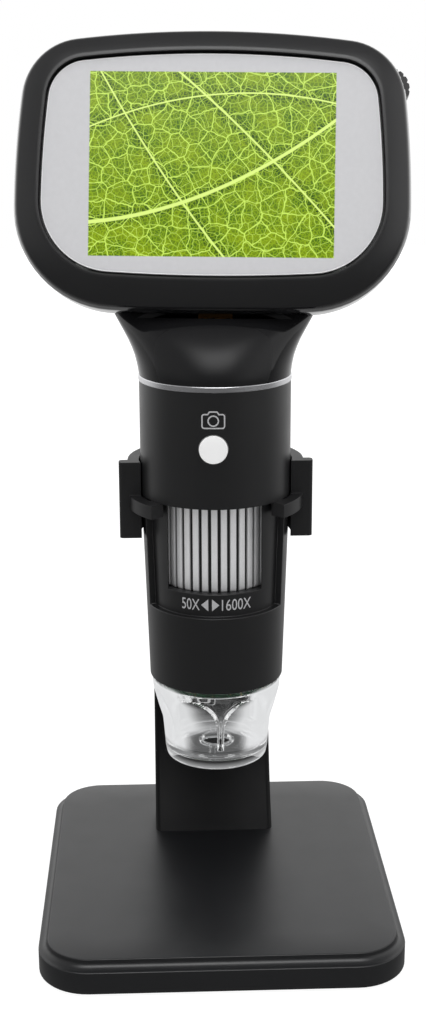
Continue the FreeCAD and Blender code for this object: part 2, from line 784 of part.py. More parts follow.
def side_centre(p, rp, q, rq):
    """Centre at distance rp from p and rq from q, on the inner (smaller x) side."""
    dx = q[0] - p[0]
    dy = q[1] - p[1]
    gap = math.hypot(dx, dy)
    along = (rp ** 2 - rq ** 2 + gap ** 2) / (2 * gap)
    across = math.sqrt(rp ** 2 - along ** 2)
    x = p[0] + along * dx / gap
    y = p[1] + along * dy / gap
    side_x = across * dy / gap
    side_y = across * dx / gap
    return min((x - side_x, y + side_y), (x + side_x, y - side_y))


def bow(centre, radius, start, end):
    """Middle of the arc about centre from start to end, the short way."""
    x = (start[0] + end[0]) / 2 - centre[0]
    y = (start[1] + end[1]) / 2 - centre[1]
    length = math.hypot(x, y)
    return (centre[0] + x / length * radius, centre[1] + y / length * radius)


def prism(shape, grow, depth_front, depth_back):
    return Part.Face(outline(shape, grow, depth_back)).extrude(V(0, 0, depth_back - depth_front))


def head_box(x0, x1, y0, y1, depth_front, depth_back):
    return box(x0, x1, y0, y1, -depth_back, -depth_front)


def head_cylinder(radius, x, y, depth_front, depth_back):
    return cylinder(radius, -depth_back, -depth_front, x, y)


def post_points():
    return [(post_x, post_y), (-post_x, post_y), (post_x, -post_y), (-post_x, -post_y)]


def screen_bezel():
    """Front frame: sides, rounded edge, slope up to the lip, rebate for the window, posts for the screws."""
    wires = [outline(head_outline, 0, bezel_depth)]
    for inset, depth in bezel_edge:
        wires.append(outline(head_outline, -inset, depth))
    for width in (bezel_crest_width, bezel_lip_width):
        wires.append(outline(window_outline, width, -bezel_lip))
    solid = Part.makeLoft(wires, True, True)
    solid = solid.cut(prism(window_outline, 0, -bezel_lip - overcut, window_thickness + window_gap))
    solid = solid.cut(prism(head_outline, -bezel_wall, ledge_back, bezel_depth))
    solid = solid.cut(head_box(-lcd_width / 2 - lcd_gap, lcd_width / 2 + lcd_gap,
                               lcd_rise - lcd_height / 2 - lcd_gap, lcd_rise + lcd_height / 2 + lcd_gap,
                               window_thickness, ledge_back))
    for x, y in post_points():
        solid = solid.fuse(head_cylinder(post_radius, x, y, ledge_back - weld, bezel_depth))
        solid = solid.cut(head_cylinder(screw_radius + screw_fit, x, y, post_hole_end, bezel_depth))
    for tool in port_cuts():
        solid = solid.cut(tool)
    return solid


def screen_window():
    return prism(window_outline, -window_gap, 0, window_thickness)


def lcd_panel():
    return head_box(-lcd_width / 2, lcd_width / 2, lcd_rise - lcd_height / 2, lcd_rise + lcd_height / 2,
                    window_thickness, window_thickness + lcd_thickness)


def main_board():
    board = prism(head_outline, -main_board_inset, main_board_depth, main_board_back)
    hole = post_radius + post_hole_gap
    for x, y in post_points():
        board = board.cut(head_cylinder(hole, x, y, main_board_depth, main_board_back))
    return board


def battery_pack():
    wide = head_outline["top_half"] - battery_side_margin
    half = battery_height / 2
    pack = head_box(-wide, wide, -battery_drop - half, -battery_drop + half,
                    main_board_back, main_board_back + battery_thickness)
    upright = [e for e in pack.Edges if e.BoundBox.ZLength > battery_thickness - near]
    return pack.makeFillet(battery_round, upright)


def rear_solid(inset, first, last):
    """Back of the head: straight side walls, then the outline draws in along a quarter ellipse."""
    turn = first + rear_straight
    wires = []
    sweep = math.radians(rear_sweep)
    for n in range(rear_steps + 1):
        share = math.sin(sweep * n / rear_steps) / math.sin(sweep)
        drawn = rear_round * (1 - math.cos(sweep * n / rear_steps))
        wires.append(outline(head_outline, -rear_reveal - inset - drawn, turn + share * (last - turn)))
    return prism(head_outline, -rear_reveal - inset, first, turn).fuse(Part.makeLoft(wires, True, False))


def ellipse_wire(wide, deep, y, z, x=0):
    """Level ellipse, wide across X and deep along Y, that starts at its +X end."""
    unit = Part.Circle(V(0, 0, 0), V(0, 0, 1), 1.0).toShape().toNurbs()
    scaled = FreeCAD.Matrix()
    scaled.scale(wide, deep, 1.0)
    scaled.move(V(x, y, z))
    return Part.Wire(unit.transformGeometry(scaled).Edges)


def eased(values, place):
    """Smooth curve through evenly numbered values, read at a place between two of them."""
    last = len(values) - 1
    n = min(int(place), last - 1)
    t = place - n
    p0, p1, p2, p3 = (values[min(max(n + k, 0), last)] for k in (-1, 0, 1, 2))
    return p1 + t / 2 * (p2 - p0 + t * (2 * p0 - 5 * p1 + 4 * p2 - p3 + t * (3 * (p1 - p2) + p3 - p0)))


def neck_solid(inset, extra_bottom=0.0):
    """Trumpet from the barrel up into the back of the head, a loft through level ellipses."""
    columns = list(zip(*neck_sections))
    count = (len(neck_sections) - 1) * neck_steps
    wires = []
    for n in range(count + 1):
        rise, front, back, half = (eased(column, n / neck_steps) for column in columns)
        drop = extra_bottom if n == 0 else 0.0
        wires.append(ellipse_wire(half - inset, (back - front) / 2 - inset, (front + back) / 2,
                                  neck_bottom + rise - drop, screen_shift * n / count))
    return Part.makeLoft(wires, True, True)


def key_points():
    middle = (len(key_names) - 1) / 2
    return [((n - middle) * key_spacing, key_rise) for n in range(len(key_names))]


def rear_housing():
    """Dished back of the head with the neck below it, one moulded shell, in the barrel's frame."""
    front_block = in_head(prism(head_outline, overcut, -cut_reach, bezel_depth))
    dish = in_head(rear_solid(0, bezel_depth, rear_depth))
    neck = neck_solid(0).cut(neck_solid(neck_wall, overcut)).cut(dish).cut(front_block)
    passage = ellipse_wire(cable_hole_width / 2, cable_hole_depth / 2, flex_back,
                           neck_bottom + cable_hole_rise)
    passage = Part.Face(passage).extrude(V(0, 0, cable_hole_length))
    hollow = in_head(rear_solid(rear_wall, bezel_depth - overcut / 2, rear_inner))
    shell = dish.cut(hollow).fuse(neck).cut(passage)
    add = []
    cut = []
    outside = rear_depth + overcut
    for x, y in post_points():
        add.append(head_cylinder(post_radius, x, y, bezel_depth, rear_inner))
        cut.append(head_cylinder(screw_radius + screw_fit, x, y, bezel_depth, rear_depth))
        cut.append(head_cylinder(screw_head_radius + head_fit, x, y, housing_screw_seat, outside))
    board_back = rear_inner - key_post_height
    for side in (-1, 1):
        x = side * (key_board_half() - key_post_inset)
        add.append(head_cylinder(key_post_radius, x, key_rise, board_back, rear_inner + weld))
    for x, y in key_points():
        cut.append(head_cylinder(key_radius + key_gap, x, y, rear_inner - overcut, outside))
    cut.append(head_cylinder(dial_radius + dial_gap, dial_x, dial_y, dial_front - dial_gap,
                             dial_back + dial_gap))
    shell = shell.fuse(in_head(Part.makeCompound(add)))
    for tool in cut + port_cuts():
        shell = shell.cut(in_head(tool))
    return shell


def port_cuts():
    """Openings in the side walls of both casing halves for the charging socket and the memory card."""
    return [usb_box(port_gap, cut_reach), card_slot(-cut_reach, -card_inner_end())]


def key_board_half():
    return (len(key_names) - 1) / 2 * key_spacing + key_radius + key_board_margin


def key_board():
    back = rear_inner - key_post_height
    half = key_radius + key_board_rim
    return head_box(-key_board_half(), key_board_half(), key_rise - half, key_rise + half,
                    back - key_board_thickness, back)


def key(x, y):
    """Round key: cap through the shell, flange behind the wall, short stem."""
    cap = head_cylinder(key_radius, x, y, rear_inner, rear_depth + key_proud)
    cap = cap.makeFillet(key_round, edges_at(cap, -rear_depth - key_proud))
    flange = head_cylinder(key_radius + key_flange, x, y, rear_inner - key_flange_thickness, rear_inner)
    return cap.fuse(flange)


def brightness_dial():
    wheel = toothed_disc(dial_radius, dial_radius - dial_tooth_depth, dial_teeth, dial_tooth_share,
                         0, dial_thickness)
    wheel = wheel.cut(cylinder(spindle_radius + running_fit, 0, dial_thickness))
    return at(wheel, dial_x, dial_y, -dial_back)


def dial_potentiometer():
    half = pot_size / 2
    x = dial_x - pot_shift_x
    y = dial_y - pot_shift_y
    body = head_box(x - half, x + half, y - half, y + half, main_board_back, main_board_back + pot_thickness)
    spindle = head_cylinder(spindle_radius, dial_x, dial_y, main_board_back + pot_thickness - weld,
                            dial_back + dial_gap)
    return body.fuse(spindle)


def usb_reach():
    """Outer end of the socket: just inside the shell's skin at the socket's height."""
    low = head_outline
    centre_x = low["bottom_half"] - low["bottom_corner"]
    centre_y = low["bottom"] + low["bottom_corner"]
    rise = -usb_drop - centre_y
    return centre_x + math.sqrt(low["bottom_corner"] ** 2 - rise ** 2) - bezel_wall - socket_setback


def usb_box(gap, extra):
    reach = usb_reach()
    half = usb_width / 2 + gap
    return head_box(reach - usb_depth - gap, reach + extra, -usb_drop - half, -usb_drop + half,
                    main_board_back - gap, main_board_back + usb_height + gap)


def usb_socket():
    reach = usb_reach()
    half = usb_width / 2 - usb_wall
    mouth = head_box(reach - usb_depth + usb_wall, reach + overcut, -usb_drop - half, -usb_drop + half,
                     main_board_back + usb_wall, main_board_back + usb_height - usb_wall)
    middle = main_board_back + usb_height / 2
    tongue = head_box(reach - usb_depth, reach - usb_tongue_setback,
                      -usb_drop - usb_width / 4, -usb_drop + usb_width / 4,
                      middle - usb_tongue / 2, middle + usb_tongue / 2)
    return usb_box(0, 0).cut(mouth).fuse(tongue)


def card_inner_end():
    return min(head_outline["top_half"], head_outline["bottom_half"]) - bezel_wall - card_setback


def card_socket():
    end = card_inner_end()
    half = card_width / 2
    shell = head_box(-end, -end + card_depth, -half - card_wall, half + card_wall,
                     main_board_back, main_board_back + card_height)
    return shell.cut(card_slot(-end - overcut, -end + card_depth - card_wall))


def card_slot(x0, x1):
    half = card_slot_height / 2
    middle = main_board_back + card_height / 2
    return head_box(x0, x1, -card_width / 2, card_width / 2, middle - half, middle + half)


def housing_screws():
    length = housing_screw_seat - post_hole_end - tip_gap
    return Part.makeCompound([at(screw(length), x, y, -housing_screw_seat) for x, y in post_points()])


def flex_cable():
    """Flat cable from the sensor board up the neck and along the back of the main board."""
    z0 = tube_top + board_thickness
    foot = head_point(0, main_flex_foot, main_board_back + flex_thickness)
    bend = foot.z - flex_bend_drop
    up = box(-flex_width / 2, flex_width / 2, flex_back, flex_back + flex_thickness, z0, bend)
    start = V(-flex_width / 2, flex_back, bend)
    end = V(-flex_width / 2, foot.y, foot.z)
    step = V(0, flex_thickness, 0)
    bridge = Part.Face(Part.makePolygon([start, end, end + step, start + step, start]))
    return up.fuse(bridge.extrude(V(flex_width, 0, 0)))


def head_point(x, y, depth):
    return head_place().multVec(V(x, y, -depth))


# Every node and the frame that it is built in

stand_parts = [base_plate, base_bottom_cover, base_screws, ballast_plate, rubber_feet, support_arm,
               arm_rear_cover, arm_foot_screws, clip_screws, holder_clip]
barrel_parts = [lower_barrel, upper_barrel, trim_ring, focus_wheel, optics_tube, wheel_retainer,
                lens_carriage, objective_lens, sensor_board, image_sensor, led_board, leds, clear_cap,
                shutter_button, button_switch, button_board, rear_housing, flex_cable]
head_parts = [screen_bezel, screen_window, lcd_panel, main_board, battery_pack, key_board,
              brightness_dial, dial_potentiometer, usb_socket, card_socket, housing_screws]


def save(name, shape):
    shape.exportStep("parts/" + name + ".step")
    print(name, len(shape.Solids), round(shape.Volume, 1))


os.makedirs("parts", exist_ok=True)
for make in stand_parts:
    save(make.__name__, make())
for make in barrel_parts:
    save(make.__name__, in_stand(make()))
for make in head_parts:
    save(make.__name__, in_stand(in_head(make())))
for name, (x, y) in zip(key_names, key_points()):
    save(name, in_stand(in_head(key(x, y))))
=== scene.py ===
import bpy
import bmesh
import json
import math
import numpy as np
from mathutils import Matrix, Vector


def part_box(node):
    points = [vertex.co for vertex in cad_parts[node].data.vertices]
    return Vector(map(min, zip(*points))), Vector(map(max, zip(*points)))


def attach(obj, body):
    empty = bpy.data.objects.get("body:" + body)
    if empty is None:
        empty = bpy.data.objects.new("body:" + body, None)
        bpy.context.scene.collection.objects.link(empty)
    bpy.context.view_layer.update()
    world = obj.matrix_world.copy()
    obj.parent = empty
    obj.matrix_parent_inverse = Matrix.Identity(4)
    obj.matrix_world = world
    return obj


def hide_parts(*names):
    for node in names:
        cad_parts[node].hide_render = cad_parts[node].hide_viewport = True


# Handheld digital microscope with a wide tilted screen, in its table stand. Metres throughout.
# Lengths called ...Mm are millimetres and are multiplied by mm where they are used.
mm = 0.001

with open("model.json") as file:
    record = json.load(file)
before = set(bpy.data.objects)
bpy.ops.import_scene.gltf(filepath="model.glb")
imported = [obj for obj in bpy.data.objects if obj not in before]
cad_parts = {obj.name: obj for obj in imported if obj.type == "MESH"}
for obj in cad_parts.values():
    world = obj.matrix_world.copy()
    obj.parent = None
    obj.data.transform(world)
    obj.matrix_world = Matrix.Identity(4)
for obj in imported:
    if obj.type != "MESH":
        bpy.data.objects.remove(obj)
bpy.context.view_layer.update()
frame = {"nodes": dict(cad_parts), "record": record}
nodes = frame["nodes"]
joints = {joint["name"]: joint for joint in frame["record"]["behaviour"]["joints"]}
print("frame loaded:", len(nodes), "nodes")

scene = bpy.context.scene
scene.view_settings.view_transform = "Standard"


# Places

def nodeBox(name):
    low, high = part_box(name)
    return np.array(low), np.array(high)


# the microscope stands turned a little in its clip: the button is pressed along its own straight back
pressAxis = joints["shutter_press"]["axis"]
scopeTurn = -math.atan2(pressAxis[0], pressAxis[1])
axisY = joints["focus_turn"]["pos_m"][1]
screenOut = Vector(joints["brightness_turn"]["axis"])
screenTilt = math.asin(screenOut.z)
headPlace = {"shiftMm": -0.45, "forwardMm": 2.0, "heightMm": 183.0, "rollDegrees": -0.7}

scopeMatrix = Matrix.Translation((0, axisY, 0)) @ Matrix.Rotation(scopeTurn, 4, "Z")
headCentre = Vector((headPlace["shiftMm"], -headPlace["forwardMm"], headPlace["heightMm"])) * mm
headMatrix = (scopeMatrix @ Matrix.Translation(headCentre)
              @ Matrix.Rotation(math.pi / 2 - screenTilt, 4, "X")
              @ Matrix.Rotation(math.radians(headPlace["rollDegrees"]), 4, "Z"))


def placed(points, matrix):
    # each point turned by the matrix's 3x3 part, then moved by its last column
    m = np.array(matrix)
    return np.asarray(points, float) @ m[:3, :3].T + m[:3, 3]


# Shader maths

class Val:
    # one output socket; + - * / on it add Math nodes
    def __init__(self, tree, socket):
        self.tree = tree
        self.socket = socket
        self.node = socket.node

    def math(self, operation, a, b=None):
        node = self.tree.nodes.new("ShaderNodeMath")
        node.operation = operation
        for slotIndex, value in enumerate((a, b)):
            if isinstance(value, Val):
                self.tree.links.new(value.socket, node.inputs[slotIndex])
            elif value is not None:
                node.inputs[slotIndex].default_value = value
        return Val(self.tree, node.outputs[0])

    def __add__(self, other):
        return self.math("ADD", self, other)

    def __radd__(self, other):
        return self.math("ADD", other, self)

    def __sub__(self, other):
        return self.math("SUBTRACT", self, other)

    def __rsub__(self, other):
        return self.math("SUBTRACT", other, self)

    def __mul__(self, other):
        return self.math("MULTIPLY", self, other)

    def __rmul__(self, other):
        return self.math("MULTIPLY", other, self)

    def __truediv__(self, other):
        return self.math("DIVIDE", self, other)

    def __neg__(self):
        return self.math("MULTIPLY", self, -1.0)

    def size(self):
        return self.math("ABSOLUTE", self)

    def most(self, other):
        return self.math("MAXIMUM", self, other)

    def rise(self, low, high):
        # 0 below low, 1 above high, a smooth step between
        node = self.tree.nodes.new("ShaderNodeMapRange")
        node.interpolation_type = "SMOOTHSTEP"
        self.tree.links.new(self.socket, node.inputs["Value"])
        node.inputs["From Min"].default_value = low
        node.inputs["From Max"].default_value = high
        return Val(self.tree, node.outputs["Result"])


class Finish:
    # one material with its Principled shader; add() makes every other node
    def __init__(self, name, color, **sockets):
        self.material = bpy.data.materials.new(name)
        self.material.use_nodes = True
        self.tree = self.material.node_tree
        self.shader = self.tree.nodes["Principled BSDF"]
        self.shader.inputs["Base Color"].default_value = (*color, 1.0)
        for socket, value in sockets.items():
            self.shader.inputs[socket.replace("_", " ")].default_value = value
        self.objectPoint = self.add("ShaderNodeTexCoord", out="Object")

    def add(self, kind, settings=None, values=None, out=0):
        node = self.tree.nodes.new(kind)
        for key, value in (settings or {}).items():
            setattr(node, key, value)
        for key, value in (values or {}).items():
            if isinstance(value, Val):
                self.tree.links.new(value.socket, node.inputs[key])
            else:
                node.inputs[key].default_value = value
        return Val(self.tree, node.outputs[out])

    def feed(self, socket, value):
        self.tree.links.new(value.socket, self.shader.inputs[socket])

    def noise(self, scale, detail=2.0, roughness=0.5, point=None):
        return self.add("ShaderNodeTexNoise", None, {"Vector": point or self.objectPoint, "Scale": scale,
                                                     "Detail": detail, "Roughness": roughness})

    def blendColor(self, share, first, second):
        node = self.tree.nodes.new("ShaderNodeMix")
        node.data_type = "RGBA"
        for index, value in ((0, share), (6, first), (7, second)):
            if isinstance(value, Val):
                self.tree.links.new(value.socket, node.inputs[index])
            elif index:
                node.inputs[index].default_value = (*value, 1.0)
            else:
                node.inputs[index].default_value = value
        return Val(self.tree, node.outputs[2])

    def along(self, axis, origin=(0, 0, 0)):
        # distance of the surface point from the origin along a unit axis
        moved = self.add("ShaderNodeVectorMath", {"operation": "SUBTRACT"},
                         {0: self.objectPoint, 1: origin})
        return self.add("ShaderNodeVectorMath", {"operation": "DOT_PRODUCT"},
                        {0: moved, 1: axis}, out="Value")

    def bump(self, height, distance, strength=1.0):
        self.feed("Normal", self.add("ShaderNodeBump", None, {"Height": height, "Distance": distance,
                                                              "Strength": strength}))


def mixed(color, factor):
    return tuple(min(1.0, c * factor) for c in color)


plastic = {"cloudScale": 60.0, "smearScale": 140.0, "darker": 0.85, "paler": 1.15}


def moulded(name, color, roughness, grainMm, grainDepthMm, specular=0.5, wear=0.06, coat=0.0, glow=0.0):
    # moulded plastic: fine spark-eroded grain, broad uneven gloss and a few faint scuffs
    # glow, where given, is a painted glow: white emission of that strength
    finish = Finish(name, color, Roughness=roughness, Specular_IOR_Level=specular, Coat_Weight=coat,
                    Emission_Strength=glow)
    cloudy = finish.noise(plastic["cloudScale"], 3.0)
    finish.feed("Base Color", finish.blendColor(cloudy, mixed(color, plastic["darker"]),
                                                mixed(color, plastic["paler"])))
    smear = finish.noise(plastic["smearScale"], 4.0, 0.65)
    finish.feed("Roughness", roughness + (smear - 0.5) * wear * 2)
    grain = finish.noise(1 / (grainMm * mm), 3.0, 0.6)
    finish.bump(grain, grainDepthMm * mm)
    return finish.material


def brushed(name, color, roughness, metallic, lineMm, axis=(0, 0, 1), wear=0.1):
    # metal drawn along one axis: noise stretched that way
    finish = Finish(name, color, Roughness=roughness, Metallic=metallic)
    stretched = [1.0 if abs(a) < 0.5 else 0.03 for a in axis]
    point = finish.add("ShaderNodeVectorMath", {"operation": "MULTIPLY"},
                       {0: finish.objectPoint, 1: stretched})
    lines = finish.noise(1 / (lineMm * mm), 3.0, 0.6, point)
    finish.feed("Base Color", finish.blendColor(lines, mixed(color, 0.82), mixed(color, 1.12)))
    finish.feed("Roughness", roughness + (lines - 0.5) * wear)
    finish.bump(lines, 0.004 * mm)
    return finish.material


def boardFinish(name, color, pitchMm):
    # solder mask with copper tracks showing through as paler lines and rows of gold pads
    finish = Finish(name, color, Roughness=0.35, Coat_Weight=0.3)
    cells = finish.add("ShaderNodeTexVoronoi", {"feature": "DISTANCE_TO_EDGE"},
                       {"Vector": finish.objectPoint, "Scale": 1 / (pitchMm * mm), "Randomness": 0.35},
                       out="Distance")
    track = 1 - cells.rise(0.03, 0.07)
    pads = finish.noise(1 / (pitchMm * 0.8 * mm), 1.0)
    painted = finish.blendColor(track * 0.6, color, mixed(color, 2.2))
    finish.feed("Base Color", finish.blendColor(pads.rise(0.66, 0.68), painted, (0.62, 0.47, 0.2)))
    finish.bump(track, 0.03 * mm)
    return finish.material


# Finishes

blackGrey = (0.0075, 0.0076, 0.0082)
satinBlack = moulded("satinBlack", blackGrey, 0.38, 0.16, 0.004)
# the arm's black is a darker copy of the satin black, for painted shade on the arm
armPaintedShade = moulded("armPaintedShade", (0.0025, 0.0025, 0.0028), 0.42, 0.18, 0.004, 0.1)
clipBlack = moulded("clipBlack", (0.0125, 0.0125, 0.0132), 0.45, 0.18, 0.004, 0.25)
baseBlack = moulded("baseBlack", (0.0072, 0.0075, 0.0086), 0.33, 0.24, 0.010)
rubberBlack = moulded("rubberBlack", (0.012, 0.012, 0.012), 0.75, 0.3, 0.02, 0.35)
keyRubber = moulded("keyRubber", (0.016, 0.016, 0.017), 0.6, 0.2, 0.01, 0.4)
dialBlack = moulded("dialBlack", (0.009, 0.009, 0.0095), 0.45, 0.15, 0.006)
componentBlack = moulded("componentBlack", (0.01, 0.01, 0.011), 0.55, 0.2, 0.01, 0.4)
# the white button has a faint painted glow
buttonWhite = moulded("buttonWhite", (0.86, 0.86, 0.86), 0.35, 0.2, 0.002, wear=0.03, glow=0.05)
# pale grey for the painted highlight on the glass's edge
paintedHighlightGrey = moulded("paintedHighlightGrey", (0.78, 0.78, 0.79), 0.25, 0.3, 0.001, wear=0.02)
markGrey = moulded("markGrey", (0.42, 0.42, 0.43), 0.5, 0.1, 0.003)
ledWhite = moulded("ledWhite", (0.9, 0.87, 0.72), 0.2, 0.3, 0.002, coat=0.5)
trimMetal = brushed("trimMetal", (0.62, 0.62, 0.64), 0.24, 1.0, 0.08, (1, 0, 0))
screwSteel = brushed("screwSteel", (0.5, 0.5, 0.52), 0.35, 1.0, 0.1, (1, 0, 0))
plateSteel = brushed("plateSteel", (0.5, 0.5, 0.5), 0.4, 1.0, 0.2, (1, 0, 0))
opticsBlack = brushed("opticsBlack", (0.035, 0.035, 0.037), 0.4, 0.7, 0.1, (1, 0, 0))
lcdMetal = brushed("lcdMetal", (0.25, 0.26, 0.25), 0.4, 0.8, 0.15, (1, 0, 0))
socketMetal = brushed("socketMetal", (0.6, 0.6, 0.61), 0.28, 1.0, 0.06, (0, 0, 1))
batteryFoil = brushed("batteryFoil", (0.55, 0.56, 0.58), 0.3, 0.6, 0.5, (1, 0, 0))
boardGreen = boardFinish("boardGreen", (0.012, 0.09, 0.035), 1.6)
flexAmber = moulded("flexAmber", (0.42, 0.2, 0.04), 0.3, 0.4, 0.004, coat=0.4)


def wheelFinish():
    # matt silver on the ridges; near black painted shade down in the grooves and at the tooth ends
    silver, deep = (0.78, 0.78, 0.79), (0.02, 0.02, 0.021)
    finish = Finish("wheelMetal", silver, Roughness=0.42, Metallic=0.25)
    groove = finish.add("ShaderNodeAttribute", {"attribute_name": "groove"}, out="Fac")
    speckle = finish.noise(3500.0, 3.0, 0.6)
    worn = finish.blendColor(speckle, mixed(silver, 0.9), mixed(silver, 1.1))
    finish.feed("Base Color", finish.blendColor(groove, worn, deep))
    finish.feed("Roughness", 0.36 + speckle * 0.14)
    finish.bump(speckle, 0.006 * mm)
    return finish.material


wheelMetal = wheelFinish()


headGloss = {"color": (0.0078, 0.0078, 0.0085), "face": 0.33, "wall": 0.08, "neck": 0.5,
             "frontMm": 1.5, "backMm": 12.6}


def headFinish(name, specular):
    # satin face and neck; the side walls between are polished, so that they mirror what lies beyond
    finish = Finish(name, headGloss["color"], Roughness=headGloss["face"], Specular_IOR_Level=specular)
    screenNormal = tuple(headMatrix.to_3x3() @ Vector((0, 0, -1)))
    deep = finish.along(screenNormal, tuple(headMatrix.to_translation())) / mm
    wall = deep.rise(headGloss["frontMm"] - 0.2, headGloss["frontMm"] + 0.2) * (
        1 - deep.rise(headGloss["backMm"] - 0.4, headGloss["backMm"] + 0.4))
    smear = finish.noise(plastic["smearScale"], 4.0, 0.65)
    cloudy = finish.noise(plastic["cloudScale"], 3.0)
    color = headGloss["color"]
    finish.feed("Base Color", finish.blendColor(cloudy, mixed(color, plastic["darker"]),
                                                mixed(color, plastic["paler"])))
    neck = deep.rise(headGloss["backMm"] - 0.4, headGloss["backMm"] + 0.4)
    finish.feed("Roughness", headGloss["face"] + wall * (headGloss["wall"] - headGloss["face"])
                + neck * (headGloss["neck"] - headGloss["face"]) + (smear - 0.5) * 0.08)
    finish.bump(finish.noise(8000.0, 3.0, 0.6) * (1 - wall), 0.003 * mm)
    return finish.material


headBlack = headFinish("headBlack", 0.55)
neckBlack = headFinish("neckBlack", 0.24)


def clearFinish(name, color, ior, roughness, shadowShare, glow=0.0):
    # transparent plastic or glass that lets light through to what it covers
    finish = Finish(name, color, Roughness=roughness, IOR=ior, Transmission_Weight=1.0)
    smear = finish.noise(220.0, 3.0)
    finish.feed("Roughness", smear.rise(0.45, 0.8) * 0.05 + roughness)
    clear = finish.add("ShaderNodeBsdfTransparent", None, {"Color": (0.97, 0.975, 0.98, 1)})
    shadowRay = finish.add("ShaderNodeLightPath", out="Is Shadow Ray") * shadowShare
    body = Val(finish.tree, finish.shader.outputs[0])
    if glow:
        # painted glow on the thick moulded walls: white emission where they are seen aslant on the panels,
        # and as an even painted glow where a per-point attribute says
        aslant = finish.add("ShaderNodeLayerWeight", None, {"Blend": 0.5}, out="Facing").rise(0.2, 0.34)
        panel = finish.add("ShaderNodeAttribute", {"attribute_name": "panel"}, out="Fac")
        paintedGlow = finish.add("ShaderNodeAttribute", {"attribute_name": "paintedGlow"}, out="Fac")
        white = finish.add("ShaderNodeEmission", None, {"Color": (0.93, 0.94, 0.95, 1), "Strength": 0.85})
        share = (aslant * panel * glow).most(paintedGlow)
        body = finish.add("ShaderNodeMixShader", None, {0: share, 1: body, 2: white})
    mix = finish.add("ShaderNodeMixShader", None, {0: shadowRay, 1: body, 2: clear})
    finish.tree.links.new(mix.socket, finish.tree.nodes["Material Output"].inputs["Surface"])
    return finish.material


# the cap's clear plastic carries that painted glow, at a share of 0.85 where seen aslant
clearAcrylic = clearFinish("clearAcrylic", (0.985, 0.99, 0.992), 1.49, 0.008, 0.92, 0.85)
lensGlass = clearFinish("lensGlass", (0.93, 0.96, 0.97), 1.52, 0.0, 0.6)

picture = {"widthMm": 54.9, "heightMm": 41.1, "riseMm": 0.68, "edgeMm": 0.12,
           "cellMm": 4.4, "middleMm": 2.1, "fineMm": 0.8, "strength": 1.0,
           "dark": (0.012, 0.055, 0.001), "mid": (0.07, 0.165, 0.002), "light": (0.25, 0.36, 0.003),
           "fine": (0.36, 0.56, 0.008), "wall": (0.66, 0.93, 0.14), "strand": (0.76, 0.97, 0.24),
           "mask": (0.585, 0.585, 0.6),
           "strands": ((0.42, -6.0, 0.006, 0.5), (-0.9, 14.0, -0.004, 0.28), (-1.25, -17.0, 0.010, 0.28),
                       (0.1, 15.5, -0.006, 0.22))}


def screenFinish():
    # plant cells as a lens shows them: big cells filled with small ones, pale walls, and a few
    # pale strands that cross the tissue; round it the glass is printed silver
    finish = Finish("screenFinish", picture["mask"], Roughness=0.2, Specular_IOR_Level=0.3)
    origin = tuple(headMatrix @ Vector((0, picture["riseMm"] * mm, 0)))
    across = tuple(headMatrix.to_3x3() @ Vector((1, 0, 0)))
    upward = tuple(headMatrix.to_3x3() @ Vector((0, 1, 0)))
    x = finish.along(across, origin) / mm
    y = finish.along(upward, origin) / mm

    def within(distance, whole):
        # 1 inside half the whole, 0 outside it, a soft edge between
        return (distance.size() - whole / 2).rise(-picture["edgeMm"], picture["edgeMm"]) * -1 + 1

    inside = within(x, picture["widthMm"]) * within(y, picture["heightMm"])
    flat = finish.add("ShaderNodeCombineXYZ", None, {0: x, 1: y, 2: 0.0})
    wobble = finish.add("ShaderNodeTexNoise", None, {"Vector": flat, "Scale": 0.35, "Detail": 2.0},
                        out="Color")
    pulled = finish.add("ShaderNodeVectorMath", {"operation": "MULTIPLY_ADD"},
                        {0: wobble, 1: (1.6, 1.6, 0.0), 2: flat})

    def walls(sizeMm, low, high):
        cell = finish.add("ShaderNodeTexVoronoi",
                          {"feature": "DISTANCE_TO_EDGE", "voronoi_dimensions": "2D"},
                          {"Vector": pulled, "Scale": 1 / sizeMm}, out="Distance")
        return 1 - (cell * sizeMm).rise(low, high)

    big = walls(picture["cellMm"], 0.05, 0.17)
    middle = walls(picture["middleMm"], 0.02, 0.13)
    fine = walls(picture["fineMm"], 0.0, 0.16)

    def strand(slope, shift, bend, halfWidth):
        # a gently bent line: distance of the point from y = slope * x + shift + bend * x squared
        away = (y - (x * slope + shift + x * x * bend)).size() / math.hypot(1.0, slope)
        return away, 1 - away.rise(halfWidth * 0.55, halfWidth)

    strands = None
    shade = None
    for slope, shift, bend, halfWidth in picture["strands"]:
        away, line = strand(slope, shift, bend, halfWidth)
        strands = line if strands is None else strands.most(line)
        dusk = 1 - away.rise(0.2, 2.6)
        shade = dusk if shade is None else shade.most(dusk)

    patch = finish.noise(0.16, 3.0, 0.6, flat).rise(0.3, 0.72)
    speck = finish.noise(2.6, 2.0, 0.5, flat)
    body = finish.blendColor(patch, picture["mid"], picture["light"])
    body = finish.blendColor((shade * 0.75 + (0.5 - speck) * 2.6).most(0.0), body, picture["dark"])
    body = finish.blendColor(fine * 0.6, body, picture["fine"])
    body = finish.blendColor(middle * 0.6, body, picture["wall"])
    body = finish.blendColor(big * 0.9, body, picture["wall"])
    body = finish.blendColor(strands, body, picture["strand"])
    finish.feed("Emission Color", finish.blendColor(inside, (0, 0, 0), body))
    finish.shader.inputs["Emission Strength"].default_value = picture["strength"]
    silver = finish.blendColor(finish.noise(900.0, 2.0), mixed(picture["mask"], 0.96),
                               mixed(picture["mask"], 1.04))
    finish.feed("Base Color", finish.blendColor(inside, silver, (0.004, 0.004, 0.004)))
    finish.feed("Roughness", 0.35 - inside * 0.2)
    return finish.material


windowPrint = screenFinish()

